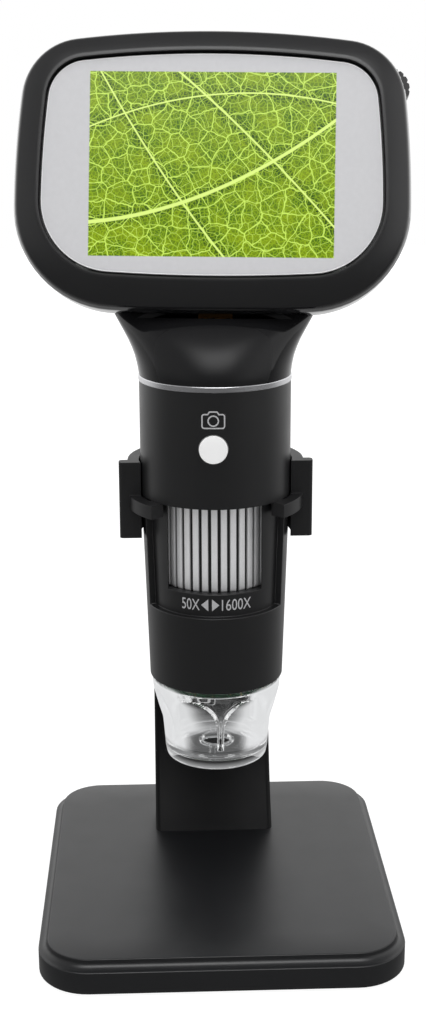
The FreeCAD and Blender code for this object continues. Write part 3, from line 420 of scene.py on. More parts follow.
slotFinish = {"black_plastic": satinBlack, "base_finish": baseBlack, "gloss_black": headBlack,
              "rubber": rubberBlack, "screw_steel": screwSteel, "steel": plateSteel,
              "trim_metal": trimMetal, "wheel_metal": wheelMetal, "optics_metal": opticsBlack,
              "lens_glass": lensGlass, "clear_plastic": clearAcrylic, "white_button": buttonWhite,
              "key_rubber": keyRubber, "dial_black": dialBlack, "window_print": windowPrint,
              "lcd_metal": lcdMetal, "board_green": boardGreen, "component_black": componentBlack,
              "led_white": ledWhite, "battery_foil": batteryFoil, "socket_metal": socketMetal,
              "flex_film": flexAmber}
slotOf = {part["node"]: part["material_slot"] for part in frame["record"]["subparts"]}
bodyOf = {node: body for body, members in frame["record"]["behaviour"]["bodies"].items() for node in members}


def dress(obj, material):
    obj.data.materials.clear()
    obj.data.materials.append(material)


for nodeName, node in nodes.items():
    if node.material_slots:
        for holder in node.material_slots:
            holder.material = slotFinish[slotOf[nodeName]]
    else:
        node.data.materials.append(slotFinish[slotOf[nodeName]])
print("finishes made:", len(bpy.data.materials))


# Mesh making

def gridFaces(rings, count, closeRings=False):
    # quads between neighbouring rings of equal count, each ring closed on itself
    last = rings if closeRings else rings - 1
    i = np.arange(last)[:, None]
    j = np.arange(count)[None]
    nextI = (i + 1) % rings
    nextJ = (j + 1) % count
    corners = (i * count + j, i * count + nextJ, nextI * count + nextJ, nextI * count + j)
    return np.stack(np.broadcast_arrays(*corners), -1).reshape(-1, 4).tolist()


def makePiece(name, points, faces, node, sharpDegrees=32.0, material=None, replaced=True, values=None):
    # a mesh from points and faces, normals outwards, that stands for a CAD node and rides on its body;
    # values are numbers per point that its material reads
    mesh = bpy.data.meshes.new(name)
    mesh.from_pydata(np.asarray(points, float).tolist(), [], faces)
    for key, numbers in (values or {}).items():
        flat = np.asarray(numbers, float).ravel()
        mesh.attributes.new(key, "FLOAT", "POINT").data.foreach_set("value", flat)
    tidy(mesh, sharpDegrees)
    return settle(name, mesh, node, material, replaced)


def tidy(mesh, sharpDegrees, weld=1e-6):
    work = bmesh.new()
    work.from_mesh(mesh)
    bmesh.ops.remove_doubles(work, verts=work.verts, dist=weld)
    bmesh.ops.recalc_face_normals(work, faces=work.faces)
    work.to_mesh(mesh)
    work.free()
    mesh.polygons.foreach_set("use_smooth", np.ones(len(mesh.polygons), bool))
    mesh.set_sharp_from_angle(angle=math.radians(sharpDegrees))


def settle(name, mesh, node, material=None, replaced=True):
    obj = bpy.data.objects.new(name, mesh)
    scene.collection.objects.link(obj)
    dress(obj, material or slotFinish[slotOf[node]])
    if replaced:
        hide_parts(node)
    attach(obj, bodyOf[node])
    return obj


def smoothCopy(name, node, sharpDegrees=28.0, bevelMm=0.0, material=None, weld=2e-6):
    # the CAD node's own mesh with its loose triangles joined, flat faces merged and edges eased
    mesh = nodes[node].data.copy()
    work = bmesh.new()
    work.from_mesh(mesh)
    bmesh.ops.remove_doubles(work, verts=work.verts, dist=weld)
    if bevelMm:
        bmesh.ops.dissolve_limit(work, angle_limit=math.radians(0.4), verts=work.verts, edges=work.edges)
    work.to_mesh(mesh)
    work.free()
    if mesh.has_custom_normals:
        mesh.attributes.remove(mesh.attributes["custom_normal"])
    mesh.polygons.foreach_set("use_smooth", np.ones(len(mesh.polygons), bool))
    mesh.set_sharp_from_angle(angle=math.radians(sharpDegrees))
    obj = settle(name, mesh, node, material)
    if bevelMm:
        bevel = obj.modifiers.new("easedEdges", "BEVEL")
        bevel.width = bevelMm * mm
        bevel.segments = 2
        bevel.limit_method = "ANGLE"
        bevel.angle_limit = math.radians(40)
    return obj


# Base plate: a shell with a rounded rim, a hollow cove and a plain top

base = {"cornerMm": 12.3, "wallMm": 2.8, "coveInsetMm": 2.15, "coveTopMm": 0.5, "rimTopMm": 6.4,
        "underMm": 0.8, "ceilingMm": 5.8, "edgeMm": 0.32, "perCorner": 14}


def roundedRing(half, corner, inset, perCorner):
    # four quarter circles joined by straight sides, anticlockwise, drawn in by the inset
    turn = np.linspace(0, math.pi / 2, perCorner)
    radius = corner - inset
    rings = []
    for k, (sx, sy) in enumerate(((1, 1), (-1, 1), (-1, -1), (1, -1))):
        angle = turn + k * math.pi / 2
        rings.append(np.stack([sx * (half[0] - corner) + radius * np.cos(angle),
                               sy * (half[1] - corner) + radius * np.sin(angle)], -1))
    return np.concatenate(rings)


def arcPoints(centre, radius, start, end, steps):
    # points on a circle in the (inset, height) plane
    angle = np.radians(np.linspace(start, end, steps))
    return np.stack([centre[0] + radius * np.cos(angle), centre[1] + radius * np.sin(angle)], -1)


def makeBase():
    low, high = nodeBox("base_plate")
    half = (high[:2] - low[:2]) / 2 / mm
    top = high[2] / mm
    edge = base["edgeMm"]
    rim = base["rimTopMm"]
    # profile of (inset, height): underside, side, rim edge, cove, top edge
    # the cove is a quarter ellipse, wide across and low, hollow side up
    wide = base["coveInsetMm"] - edge - 0.1
    tall = top - base["coveTopMm"] - rim
    turn = np.radians(np.linspace(8, 86, 9))
    cove = np.stack([edge + 0.1 + wide * np.sin(turn), rim + tall * (1 - np.cos(turn))], -1)
    side = np.concatenate([
        [(base["wallMm"], base["ceilingMm"]), (base["wallMm"], base["underMm"])],
        arcPoints((edge, base["underMm"] + edge), edge, 270, 180, 4),
        arcPoints((edge, rim - edge), edge, 180, 90, 6), [(edge + 0.05, rim)], cove,
        arcPoints((base["coveInsetMm"] + edge * 0.8, top - edge * 0.8), edge * 0.8, 180, 90, 6)])
    path = [roundedRing(half, base["cornerMm"], inset, base["perCorner"]) for inset, height in side]
    rings = [np.column_stack([ring, np.full(len(ring), height)]) for ring, (inset, height) in zip(path, side)]
    shares = (0.8, 0.5, 0.2, 0.02)
    under = [rings[0] * (s, s, 1) for s in reversed(shares)]
    above = [rings[-1] * (s, s, 1) for s in shares]
    rings = under + rings + above
    count = len(rings[0])
    points = np.concatenate(rings) * mm
    faces = gridFaces(len(rings), count)
    faces.append(list(range(count)))
    faces.append(list(range((len(rings) - 1) * count, len(rings) * count)))
    return makePiece("basePlateShell", points, faces, "base_plate", 40.0)


makeBase()
print("base made")


# Head outlines: eight arcs, in the screen's own plane

headShape = {"topHalf": 43.6, "bottomHalf": 45.0, "top": 29.8, "bottom": -31.6, "topCorner": 14.5,
             "bottomCorner": 23.3, "crown": 250.0, "side": 220.0, "base": 400.0}
windowShape = {"topHalf": 36.9, "bottomHalf": 38.3, "top": 23.8, "bottom": -23.5, "topCorner": 9.0,
               "bottomCorner": 16.0, "crown": 250.0, "side": 220.0, "base": 400.0}


def headRing(shape, grow, perArc=(10, 14, 12, 16, 10)):
    # the right half is five arcs, each touching the next: crown, upper corner, side, lower corner, base;
    # the left half is its mirror image
    top = np.array([shape["topHalf"] - shape["topCorner"], shape["top"] - shape["topCorner"]])
    low = np.array([shape["bottomHalf"] - shape["bottomCorner"], shape["bottom"] + shape["bottomCorner"]])
    crown = np.array([0, top[1] - math.sqrt((shape["crown"] - shape["topCorner"]) ** 2 - top[0] ** 2)])
    foot = np.array([0, low[1] + math.sqrt((shape["base"] - shape["bottomCorner"]) ** 2 - low[0] ** 2)])
    # side centre: at its own distance from both corner centres, on the inner side
    reachTop = shape["side"] - shape["topCorner"]
    reachLow = shape["side"] - shape["bottomCorner"]
    step = low - top
    gap = np.linalg.norm(step)
    along = (reachTop ** 2 - reachLow ** 2 + gap ** 2) / (2 * gap)
    across = math.sqrt(reachTop ** 2 - along ** 2)
    normal = np.array([step[1], -step[0]]) / gap
    side = min((top + step / gap * along + normal * s * across for s in (1, -1)), key=lambda p: p[0])

    def bearing(start, end):
        return math.atan2(end[1] - start[1], end[0] - start[0])

    turns = (math.pi / 2, bearing(crown, top), bearing(side, top), bearing(side, low), bearing(foot, low),
             -math.pi / 2)
    centres = ((crown, shape["crown"]), (top, shape["topCorner"]), (side, shape["side"]),
               (low, shape["bottomCorner"]), (foot, shape["base"]))
    right = []
    for (centre, radius), start, end, count in zip(centres, turns[:-1], turns[1:], perArc):
        angle = np.linspace(start, end, count, endpoint=False)
        right.append(np.stack([centre[0] + (radius + grow) * np.cos(angle),
                               centre[1] + (radius + grow) * np.sin(angle)], -1))
    right = np.concatenate(right)
    bottom = foot + (0, -(shape["base"] + grow))
    left = right[1:][::-1] * (-1, 1)
    return np.concatenate([right, bottom[None], left])


bezel = {"depthMm": 7.0, "wallMm": 2.4, "lipMm": 0.8, "crestMm": 1.1, "gapMm": 0.42,
         "windowThickMm": 1.3, "ledgeMm": 2.7, "wallInMm": 0.14, "drawnInMm": 0.15,
         "edge": ((0.0, 4.2), (0.06, 3.8), (0.2, 3.4), (0.34, 2.8), (0.5, 2.2), (0.72, 1.72), (1.0, 1.3),
                  (1.35, 1.05))}


def makeBezel():
    # a frame carried round the outline: side wall, rounded edge, slope up to the crest, lip, window seat
    depth = bezel["depthMm"]
    sections = [(headShape, -bezel["wallMm"], -depth), (headShape, -0.4, -depth),
                (headShape, -bezel["wallInMm"], -depth + 0.25), (headShape, -bezel["wallInMm"], -depth + 1.0)]
    # rounded edge: from the side wall onto the slope, through (inset, depth) points
    sections += [(headShape, -inset - bezel["drawnInMm"], -deep) for inset, deep in bezel["edge"]]
    inner = windowShape
    lip = bezel["lipMm"]
    gap = bezel["gapMm"]
    crest = bezel["crestMm"]
    sections += [(inner, crest + 0.4, lip - 0.12), (inner, crest, lip - 0.03), (inner, crest - 0.3, lip),
                 (inner, gap + 0.12, lip), (inner, gap, lip - 0.1),
                 (inner, gap - 0.05, -bezel["windowThickMm"]),
                 (inner, -1.6, -bezel["windowThickMm"]), (inner, -1.6, -bezel["ledgeMm"]),
                 (headShape, -bezel["wallMm"], -bezel["ledgeMm"])]
    rings = []
    for shape, grow, height in sections:
        ring = headRing(shape, grow)
        rings.append(np.column_stack([ring, np.full(len(ring), height)]))
    count = len(rings[0])
    points = placed(np.concatenate(rings) * mm, headMatrix)
    obj = makePiece("screenBezelFrame", points, gridFaces(len(rings), count, True), "screen_bezel", 30.0)
    cutBoxes(obj, [ports["charge"], ports["card"]])
    return obj


# openings in the side walls, in the screen's own plane: x, y and depth from and to
ports = {"charge": ((34.0, 55.0), (-22.15, -13.65), (-9.05, -5.75)),
         "card": ((-55.0, -40.0), (-5.7, 5.7), (-7.45, -6.45))}


def cutBoxes(obj, spans):
    # takes the boxes out of the mesh once and keeps no cutter in the scene
    cutter = bpy.data.meshes.new("portCutter")
    corners, faces = [], []
    for xs, ys, zs in spans:
        start = len(corners)
        corners += [(x, y, z) for z in zs for y in ys for x in xs]
        faces += [[start + i for i in face] for face in ((0, 2, 3, 1), (4, 5, 7, 6), (0, 1, 5, 4),
                                                         (2, 6, 7, 3), (0, 4, 6, 2), (1, 3, 7, 5))]
    cutter.from_pydata(placed(np.array(corners) * mm, headMatrix).tolist(), [], faces)
    holder = bpy.data.objects.new("portCutter", cutter)
    scene.collection.objects.link(holder)
    carve = obj.modifiers.new("ports", "BOOLEAN")
    carve.operation = "DIFFERENCE"
    carve.solver = "EXACT"
    carve.object = holder
    made = bpy.data.meshes.new_from_object(obj.evaluated_get(bpy.context.evaluated_depsgraph_get()))
    obj.modifiers.remove(carve)
    bpy.data.objects.remove(holder)
    bpy.data.meshes.remove(cutter)
    old = obj.data
    obj.data = made
    bpy.data.meshes.remove(old)
    made.name = obj.name


makeBezel()


# (growth of the window's outline, height above the glass) round the rim's section
windowRim = ((-0.14, 0.0), (-0.16, 0.02), (-0.34, 0.02), (-0.36, 0.0))


def makeWindowRim():
    # a painted highlight along the glass's fine polished edge: a thin pale grey ring laid just above the
    # glass
    rings = []
    for grow, height in windowRim:
        ring = headRing(windowShape, grow)
        rings.append(np.column_stack([ring, np.full(len(ring), height)]))
    points = placed(np.concatenate(rings) * mm, headMatrix)
    return makePiece("windowPaintedHighlight", points, gridFaces(len(rings), len(rings[0]), True),
                     "screen_window", 60.0, paintedHighlightGrey, False)


makeWindowRim()
print("bezel made")


# Moulded shells: CAD shapes with joined faces and eased edges

smoothCopy("rearHousingShell", "rear_housing", 25.0, material=neckBlack)
smoothCopy("upperBarrelSleeve", "upper_barrel", 30.0, 0.22)
smoothCopy("lowerBarrelShell", "lower_barrel", 30.0, 0.12)
smoothCopy("trimRingBand", "trim_ring", 30.0, 0.2)
smoothCopy("supportArmShell", "support_arm", 30.0, material=armPaintedShade)
smoothCopy("armRearPanel", "arm_rear_cover", 30.0, 0.25, material=armPaintedShade)
smoothCopy("holderClipBody", "holder_clip", 30.0, 0.6, material=clipBlack)
smoothCopy("shutterCap", "shutter_button", 30.0)
smoothCopy("opticsBarrel", "optics_tube", 30.0)
smoothCopy("carriageBody", "lens_carriage", 30.0, 0.2)
smoothCopy("windowPane", "screen_window", 30.0, 0.12)
smoothCopy("brightnessWheel", "brightness_dial", 30.0)
smoothCopy("rubberPads", "rubber_feet", 30.0, 0.15)
smoothCopy("baseCoverPlate", "base_bottom_cover", 30.0, 0.2)
for key in ("power_button", "menu_button", "playback_button"):
    smoothCopy(key.replace("_button", "Key"), key, 30.0)
print("shells made")


# Focus wheel: flat-topped ridges with narrow dark grooves

wheel = {"radiusMm": 13.0, "boreMm": 10.45, "depthMm": 0.75, "ridges": 36, "ridgeShare": 0.62,
         "flankShare": 0.1, "crownMm": 0.07, "endRoundMm": 0.7}


def makeWheel():
    # across one ridge the radius is the outer one less a shallow parabola on top, then a steep flank down
    # to the groove's floor; both ends of a ridge draw in like a rounded tooth
    low, high = nodeBox("focus_wheel")
    half = np.array([0, 0.1, 0.2, 0.26, 0.295, 0.315, 0.335, 0.36, 0.385, 0.44])
    phases = np.concatenate([-np.append(half, 0.5)[:0:-1], half])
    phase = np.tile(phases, wheel["ridges"])
    angle = (np.repeat(np.arange(wheel["ridges"]), len(phases)) + phase) * 2 * math.pi / wheel["ridges"]
    across = np.abs(2 * phase)
    groove = np.clip((across - wheel["ridgeShare"]) / wheel["flankShare"], 0, 1)
    crown = wheel["crownMm"] * np.clip(across / wheel["ridgeShare"], 0, 1) ** 2
    z0, z1 = low[2] / mm, high[2] / mm
    end = wheel["endRoundMm"]
    levels = [(z0, None, 1.0), (z0, end, 1.0), (z0 + end * 0.3, end * 0.35, 0.4), (z0 + end, 0.0, 0.0),
              (z1 - end, 0.0, 0.0), (z1 - end * 0.3, end * 0.35, 0.4), (z1, end, 1.0), (z1, None, 1.0)]
    count = len(angle)
    rings, shade = [], []
    for z, inset, dim in levels:
        if inset is None:
            r = np.full(count, wheel["boreMm"])
        else:
            r = wheel["radiusMm"] - np.maximum(crown + groove * wheel["depthMm"], inset)
        rings.append(np.stack([r * np.sin(angle), -r * np.cos(angle), np.full(count, z)], -1))
        # painted shade share per point: full in the grooves and at the tooth ends, read as near black by the
        # wheel's colour
        shade.append(np.maximum(groove, dim))
    points = placed(np.concatenate(rings) * mm, scopeMatrix)
    return makePiece("focusWheelRidged", points, gridFaces(len(rings), count, True), "focus_wheel", 50.0,
                     values={"groove": np.concatenate(shade)})


makeWheel()
print("focus wheel made")


# Clear cap: a tapered bell whose wall is thick in six tulip-shaped posts and a band, thin in arched windows

# the foot and floor shares in this table are painted glow: white emission mixed into the clear plastic there
cap = {"posts": 6, "firstPost": 6.0, "tipHalfMm": 0.75, "windowMidMm": 52.0, "windowTopMm": 59.5,
       "wallMm": 0.9, "postMm": 1.6, "postEndMm": 46.2, "perPost": 64,
       "smoothings": 4, "footGlowPaint": 0.35, "floorGlowPaint": 0.12,
       "bell": ((15.6, 61.2), (15.45, 59.0), (14.25, 54.4), (13.2, 51.0), (12.85, 47.0), (12.6, 43.4))}


def makeCap():
    low, high = nodeBox("clear_cap")
    bottom = low[2] / mm
    collarTop = high[2] / mm
    barrelEnd = nodeBox("lower_barrel")[0][2] / mm
    floorZ = bottom + 2.2
    # outer profile: collar, shoulder, an S curve through the bell's radii, the rounded foot
    outer = [(13.1, collarTop), (14.1, collarTop), (14.1, barrelEnd), (15.3, barrelEnd)]
    outer += [tuple(p) for p in arcPoints((15.3, barrelEnd - 0.3), 0.3, 90, 0, 4)]
    knots = np.array(cap["bell"])[::-1]
    height = np.linspace(knots[-1, 1], knots[0, 1], 44)
    radius = np.interp(height, knots[:, 1], knots[:, 0])
    for _ in range(cap["smoothings"]):
        radius[1:-1] = (radius[:-2] + 2 * radius[1:-1] + radius[2:]) / 4
    bell = np.stack([radius, height], -1)
    foot = arcPoints((11.65, bottom + 0.65), 0.65, 0, -90, 8)
    inFoot = [(10.9, bottom), (10.65, bottom + 0.25), (10.6, bottom + 1.0), (10.75, bottom + 2.0)]
    floor = [(10.4, floorZ), (4.4, floorZ), (4.25, floorZ - 0.45), (3.95, floorZ - 0.6),
             (3.65, floorZ - 0.45), (3.6, floorZ), (3.6, floorZ + 0.9), (3.7, floorZ + 1.15),
             (3.95, floorZ + 1.25), (4.3, floorZ + 1.2), (10.0, floorZ + 1.2), (10.7, floorZ + 1.35),
             (11.2, floorZ + 1.9)]
    inHeight = np.linspace(floorZ + 2.3, barrelEnd - 1.3, 64)
    inner = np.stack([np.interp(inHeight, height[::-1], radius[::-1]) - cap["wallMm"], inHeight], -1)
    close = [(13.1, barrelEnd - 0.6), (13.1, collarTop - 0.1)]
    profile = np.concatenate([outer, bell, foot, inFoot, floor, inner, close])
    start = len(profile) - len(close) - len(inner)
    onInner = np.zeros(len(profile))
    onInner[start:start + len(inner)] = 1
    onOuter = np.zeros(len(profile))
    onOuter[len(outer):len(outer) + len(bell)] = 1

    count = cap["posts"] * cap["perPost"]
    angle = np.arange(count) * 2 * math.pi / count
    pitch = 2 * math.pi / cap["posts"]
    off = np.abs((angle / pitch + 0.5) % 1.0 - 0.5) * pitch
    r = np.repeat(profile[:, :1], count, 1)
    z = np.repeat(profile[:, 1:], count, 1)
    # a window's half width is an ellipse above windowMid and constant below; what is left of the pitch is
    # the post, whose inner face bulges by the square root of 1 less the fourth power of its own half width
    lift = np.clip((z - cap["windowMidMm"]) / (cap["windowTopMm"] - cap["windowMidMm"]), 0, 1)
    halfPitch = r * pitch / 2
    edge = halfPitch - (halfPitch - cap["tipHalfMm"]) * np.sqrt(1 - lift ** 2)
    bulge = np.sqrt(np.clip(1 - np.clip(off[None] * r / edge, 0, 1) ** 4, 0, 1))
    fade = np.clip((z - cap["postEndMm"]) / 1.2, 0, 1) * np.clip((barrelEnd - 1.3 - z) / 0.6, 0, 1)
    r = r - onInner[:, None] * bulge * fade * cap["postMm"]
    turned = angle + math.radians(cap["firstPost"])
    points = np.stack([r * np.sin(turned)[None], -r * np.cos(turned)[None], z], -1).reshape(-1, 3)
    points = placed(points * mm, scopeMatrix)
    # painted glow per point: panel marks the bell's outer face above 45 mm, where the glow is mixed in where
    # seen aslant; the next shares give an even painted glow on the rounded foot and the floor's upper part
    panel = np.repeat(onOuter[:, None] * np.clip((z[:, :1] - 45.0) / 1.5, 0, 1), count, 1)
    capGlowPaint = np.zeros(len(profile))
    capGlowPaint[len(outer) + len(bell):len(outer) + len(bell) + len(foot)] = cap["footGlowPaint"]
    capGlowPaint[len(profile) - len(close) - len(inner) - len(floor) + 6:start] = cap["floorGlowPaint"]
    return makePiece("clearCapBell", points, gridFaces(len(profile), count, True), "clear_cap", 40.0,
                     values={"panel": panel, "paintedGlow": np.repeat(capGlowPaint, count)})


makeCap()
print("clear cap made")


# Printed marks: thin raised shapes wrapped on the barrel

marks = {"proudMm": 0.03, "thickMm": 0.03, "iconZMm": 128.9, "iconWidthMm": 5.05, "iconHeightMm": 3.75,
         "iconCornerMm": 0.5, "finderRiseMm": 0.6, "finderHalfMm": 0.85, "finderSlopeMm": 0.4,
         "lensDropMm": 0.2, "lensRadiusMm": 1.15, "taper": (17.55 - 16.1) / (108.1 - 62.5),
         "lineMm": 0.3, "scaleZMm": 84.45, "textHeightMm": 2.75, "recessRadiusMm": 15.3,
         "sleeveRadiusMm": 17.7, "words": (("50X", -5.7, 4.45), ("1600X", 5.35, 7.2)),
         "arrows": ((-1, -3.1), (1, 1.15)), "arrowLengthMm": 1.7, "arrowHeightMm": 2.95}


def wrap(flat, radiusMm, coneSlope=0.0):
    # (across, up) in millimetres laid on a cylinder or cone: across becomes an angle
    across, up = flat[:, 0], flat[:, 1]
    radius = radiusMm + marks["proudMm"] + coneSlope * up
    turn = across / radiusMm
    return np.stack([radius * np.sin(turn), -radius * np.cos(turn), up], -1)


def stripPoints(path, width, closed):
    # two rows of points, each half the width to one side of the path, along its mitred normals
    path = np.asarray(path, float)
    if closed:
        before, after = np.roll(path, 1, 0), np.roll(path, -1, 0)
    else:
        before = np.concatenate([path[:1] * 2 - path[1:2], path[:-1]])
        after = np.concatenate([path[1:], path[-1:] * 2 - path[-2:-1]])
    a = (path - before) / np.linalg.norm(path - before, axis=1)[:, None]
    b = (after - path) / np.linalg.norm(after - path, axis=1)[:, None]
    tangent = a + b
    tangent /= np.linalg.norm(tangent, axis=1)[:, None]
    normal = np.stack([-tangent[:, 1], tangent[:, 0]], -1)
    stretch = 1 / np.maximum(0.5, (normal * np.stack([-a[:, 1], a[:, 0]], -1)).sum(1))
    shift = normal * (stretch * width / 2)[:, None]
    return path + shift, path - shift


def stripFaces(count, closed, start):
    faces = []
    for i in range(count if closed else count - 1):
        j = (i + 1) % count
        faces.append([start + i, start + j, start + count + j, start + count + i])
    return faces


def circlePath(centre, radius, start=0.0, end=360.0, steps=32):
    angle = np.radians(np.linspace(start, end, steps))
    return np.stack([centre[0] + radius * np.cos(angle), centre[1] + radius * np.sin(angle)], -1)


def evenly(path, step=0.2):
    # the closed path again, with no straight stretch longer than the step
    path = np.asarray(path, float)
    out = []
    for a, b in zip(path, np.roll(path, -1, 0)):
        pieces = max(1, int(math.ceil(np.linalg.norm(b - a) / step)))
        if np.linalg.norm(b - a) > 1e-6:
            out += [a + (b - a) * k / pieces for k in range(pieces)]
    return np.array(out)


def makePictogram():
    # outline of a plain camera: body with round corners and a raised finder, a ring for its lens
    w, h, c = marks["iconWidthMm"] / 2, marks["iconHeightMm"] / 2, marks["iconCornerMm"]
    bodyTop = h - marks["finderRiseMm"]
    hump = marks["finderHalfMm"]
    body = np.concatenate([
        circlePath((w - c, -h + c), c, -90, 0, 6), circlePath((w - c, bodyTop - c), c, 0, 90, 6),
        [(hump + marks["finderSlopeMm"], bodyTop), (hump, h), (-hump, h),
         (-hump - marks["finderSlopeMm"], bodyTop)],
        circlePath((-w + c, bodyTop - c), c, 90, 180, 6), circlePath((-w + c, -h + c), c, 180, 270, 6)])
    points, faces = [], []
    for shape in (evenly(body), circlePath((0, -marks["lensDropMm"]), marks["lensRadiusMm"])[:-1]):
        start = sum(len(p) for p in points)
        points += list(stripPoints(shape, marks["lineMm"], True))
        faces += stripFaces(len(shape), True, start)
    place = wrap(np.concatenate(points), marks["sleeveRadiusMm"])
    place[:, 2] += marks["iconZMm"]
    return finishMark("cameraMark", placed(place * mm, scopeMatrix), faces)


def finishMark(name, points, faces):
    mesh = bpy.data.meshes.new(name)
    mesh.from_pydata(points.tolist(), [], faces)
    work = bmesh.new()
    work.from_mesh(mesh)
    bmesh.ops.remove_doubles(work, verts=work.verts, dist=1e-7)
    work.to_mesh(mesh)
    work.free()
    outward = points.mean(0) - np.array([0, axisY, points[:, 2].mean()])
    normals = np.zeros(len(mesh.polygons) * 3)
    mesh.polygons.foreach_get("normal", normals)
    if (normals.reshape(-1, 3) @ outward).sum() < 0:
        mesh.flip_normals()
    obj = bpy.data.objects.new(name, mesh)
    scene.collection.objects.link(obj)
    dress(obj, markGrey)
    solid = obj.modifiers.new("inkThickness", "SOLIDIFY")
    solid.thickness = marks["thickMm"] * mm
    solid.offset = -1.0
    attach(obj, "microscope")
    return obj


def textFlat(words, widthMm, heightMm):
    # plain digits as flat outlines, drawn to the width and height given and centred
    curve = bpy.data.curves.new("digits", "FONT")
    curve.body = words
    curve.resolution_u = 4
    holder = bpy.data.objects.new("digits", curve)
    scene.collection.objects.link(holder)
    depsgraph = bpy.context.evaluated_depsgraph_get()
    mesh = bpy.data.meshes.new_from_object(holder.evaluated_get(depsgraph))
    points = np.zeros(len(mesh.vertices) * 3)
    mesh.vertices.foreach_get("co", points)
    points = points.reshape(-1, 3)[:, :2]
    faces = [list(p.vertices) for p in mesh.polygons]
    bpy.data.objects.remove(holder)
    bpy.data.curves.remove(curve)
    bpy.data.meshes.remove(mesh)
    low, high = points.min(0), points.max(0)
    return (points - (low + high) / 2) * (widthMm, heightMm) / (high - low), faces


def makeScaleMarks():
    # two plain magnifications with an arrow each, centred below the wheel on the recess's tapered floor
    points, faces = [], []

    def addFlat(flat, flatFaces):
        start = sum(len(p) for p in points)
        points.append(flat)
        faces.extend([[start + i for i in face] for face in flatFaces])

    for words, centre, wide in marks["words"]:
        flat, flatFaces = textFlat(words, wide, marks["textHeightMm"])
        addFlat(flat + (centre, 0), flatFaces)
    for side, tip in marks["arrows"]:
        back = tip - side * marks["arrowLengthMm"]
        half = marks["arrowHeightMm"] / 2
        addFlat(np.array([(tip, 0), (back, half), (back, -half)]), [[0, 1, 2]])
    place = wrap(np.concatenate(points), marks["recessRadiusMm"], marks["taper"])
    place[:, 2] += marks["scaleZMm"]
    return finishMark("magnificationMarks", placed(place * mm, scopeMatrix), faces)


makePictogram()
makeScaleMarks()
print("marks made")


# Studio: pale floor, white surround, soft lamps

studio = {"floorSize": 3.0, "floorShare": 0.72, "floorGlow": 1.3, "surround": 0.78,
          "front": 0.2, "left": 0.62, "right": 1.2, "back": 1.25, "above": 0.4, "softBox": 4.6,
          "floorFront": 0.18, "floorBack": 0.95,
          "lamps": {"top": (0.02, -0.28, 1.0, 0.6, 3.4)}}


def raySorts(tree):
    # what the camera sees, straight or through glass, and what a reflection sees
    rays = tree.nodes.new("ShaderNodeLightPath").outputs
    seen = Val(tree, rays["Is Camera Ray"]).most(Val(tree, rays["Is Transmission Ray"]))
    return seen, Val(tree, rays["Is Glossy Ray"])


def makeFloor():
    half = studio["floorSize"] / 2
    mesh = bpy.data.meshes.new("studioFloor")
    corners = [(-half, -half, 0), (half, -half, 0), (half, half, 0), (-half, half, 0)]
    mesh.from_pydata(corners, [], [(0, 1, 2, 3)])
    floor = bpy.data.objects.new("studioFloor", mesh)
    scene.collection.objects.link(floor)
    finish = Finish("floorWhite", (0.82, 0.82, 0.82), Roughness=0.9, Specular_IOR_Level=0.1)
    seen, mirrored = raySorts(finish.tree)
    away = finish.add("ShaderNodeVectorMath", {"operation": "LENGTH"}, {0: finish.objectPoint}, out="Value")
    far = away.rise(0.12, 0.75)
    glow = finish.add("ShaderNodeEmission", None, {"Color": (1, 1, 1, 1)})
    body = Val(finish.tree, finish.shader.outputs[0])
    # reflections see a dim floor in front of the object and a paler one behind it
    y = finish.along((0, 1, 0))
    mirror = studio["floorFront"] + y.rise(-0.15, 0.5) * (studio["floorBack"] - studio["floorFront"])
    strength = mirrored * mirror + (1 - mirrored) * studio["floorGlow"]
    finish.tree.links.new(strength.socket, glow.node.inputs["Strength"])
    share = (seen * (studio["floorShare"] + (1 - studio["floorShare"]) * far)).most(mirrored)
    mix = finish.add("ShaderNodeMixShader", None, {0: share, 1: body, 2: glow})
    finish.tree.links.new(mix.socket, finish.tree.nodes["Material Output"].inputs["Surface"])
    dress(floor, finish.material)


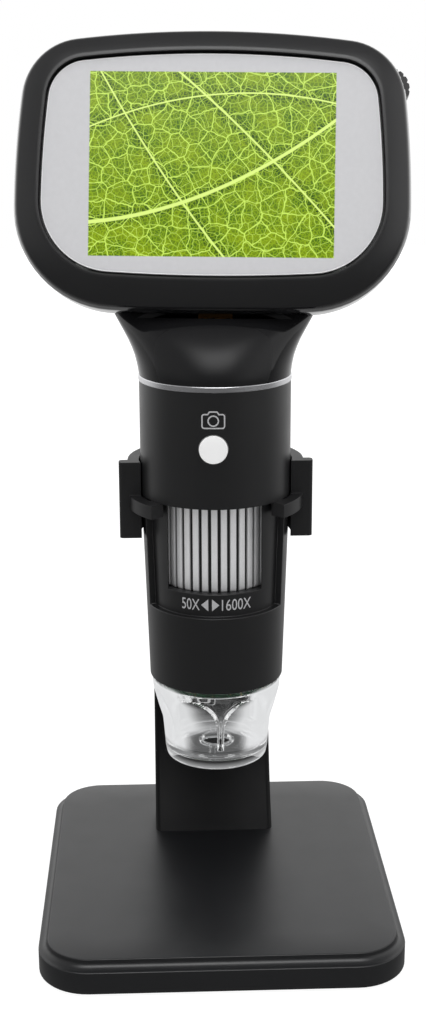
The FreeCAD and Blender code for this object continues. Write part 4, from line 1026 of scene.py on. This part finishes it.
def makeSurround():
    # white where the camera looks; dimmer in front of the object for reflections, bright behind it
    world = bpy.data.worlds.new("paleSurround")
    scene.world = world
    world.use_nodes = True
    tree = world.node_tree
    shader = tree.nodes["Background"]
    seen, mirrored = raySorts(tree)
    place = tree.nodes.new("ShaderNodeTexCoord")
    split = tree.nodes.new("ShaderNodeSeparateXYZ")
    tree.links.new(place.outputs["Generated"], split.inputs[0])
    x, y, z = (Val(tree, split.outputs[axis]) for axis in "XYZ")
    # brightness by direction: dim ahead of the object, brighter to its right than its left, pale behind
    toRight = x.rise(0.3, 0.85)
    toLeft = (-x).rise(0.3, 0.85)
    level = (studio["front"] + toRight * (studio["right"] - studio["front"])
             + toLeft * (studio["left"] - studio["front"]))
    behind = y.rise(-0.25, 0.45)
    level = level * (1 - behind) + behind * studio["back"]
    up = z.rise(0.5, 0.9)
    level = level * (1 - up) + up * studio["above"]
    # a long soft box ahead of the object and above the camera
    box = z.rise(0.42, 0.58) * (1 - z.rise(0.8, 0.9)) * (-y).rise(0.1, 0.3)
    box = box * (1 - x.size().rise(0.2, 0.5))
    level = level + box * studio["softBox"]
    strength = seen + (1 - seen) * (mirrored * level + (1 - mirrored) * studio["surround"])
    tree.links.new(strength.socket, shader.inputs["Strength"])
    shader.inputs["Color"].default_value = (1, 1, 1, 1)


def makeLamps():
    target = Vector((0, 0, 0.11))
    for name, (x, y, z, size, power) in studio["lamps"].items():
        data = bpy.data.lights.new(name + "Lamp", "AREA")
        data.shape = "SQUARE"
        data.size = size
        data.energy = power
        lamp = bpy.data.objects.new(name + "Lamp", data)
        lamp.location = (x, y, z)
        lamp.visible_glossy = False
        lamp.rotation_euler = (target - lamp.location).to_track_quat("-Z", "Y").to_euler()
        scene.collection.objects.link(lamp)


camera = {"place": (-0.01311, -0.35890, 0.20401), "right": (0.99931, -0.03674, -0.00444),
          "ahead": (0.03380, 0.96109, -0.27415), "lens": 54.57, "sensor": 36.0}


def makeCamera():
    data = bpy.data.cameras.new("photoCamera")
    data.sensor_fit = "AUTO"
    data.sensor_width = camera["sensor"]
    data.lens = camera["lens"]
    data.clip_start = 0.01
    obj = bpy.data.objects.new("photoCamera", data)
    back = -Vector(camera["ahead"]).normalized()
    right = Vector(camera["right"])
    right = (right - back * right.dot(back)).normalized()
    up = back.cross(right)
    turn = Matrix((right, up, back)).transposed().to_4x4()
    obj.matrix_world = Matrix.Translation(camera["place"]) @ turn
    scene.collection.objects.link(obj)
    scene.camera = obj


makeFloor()
makeSurround()
makeLamps()
makeCamera()
print("studio made")
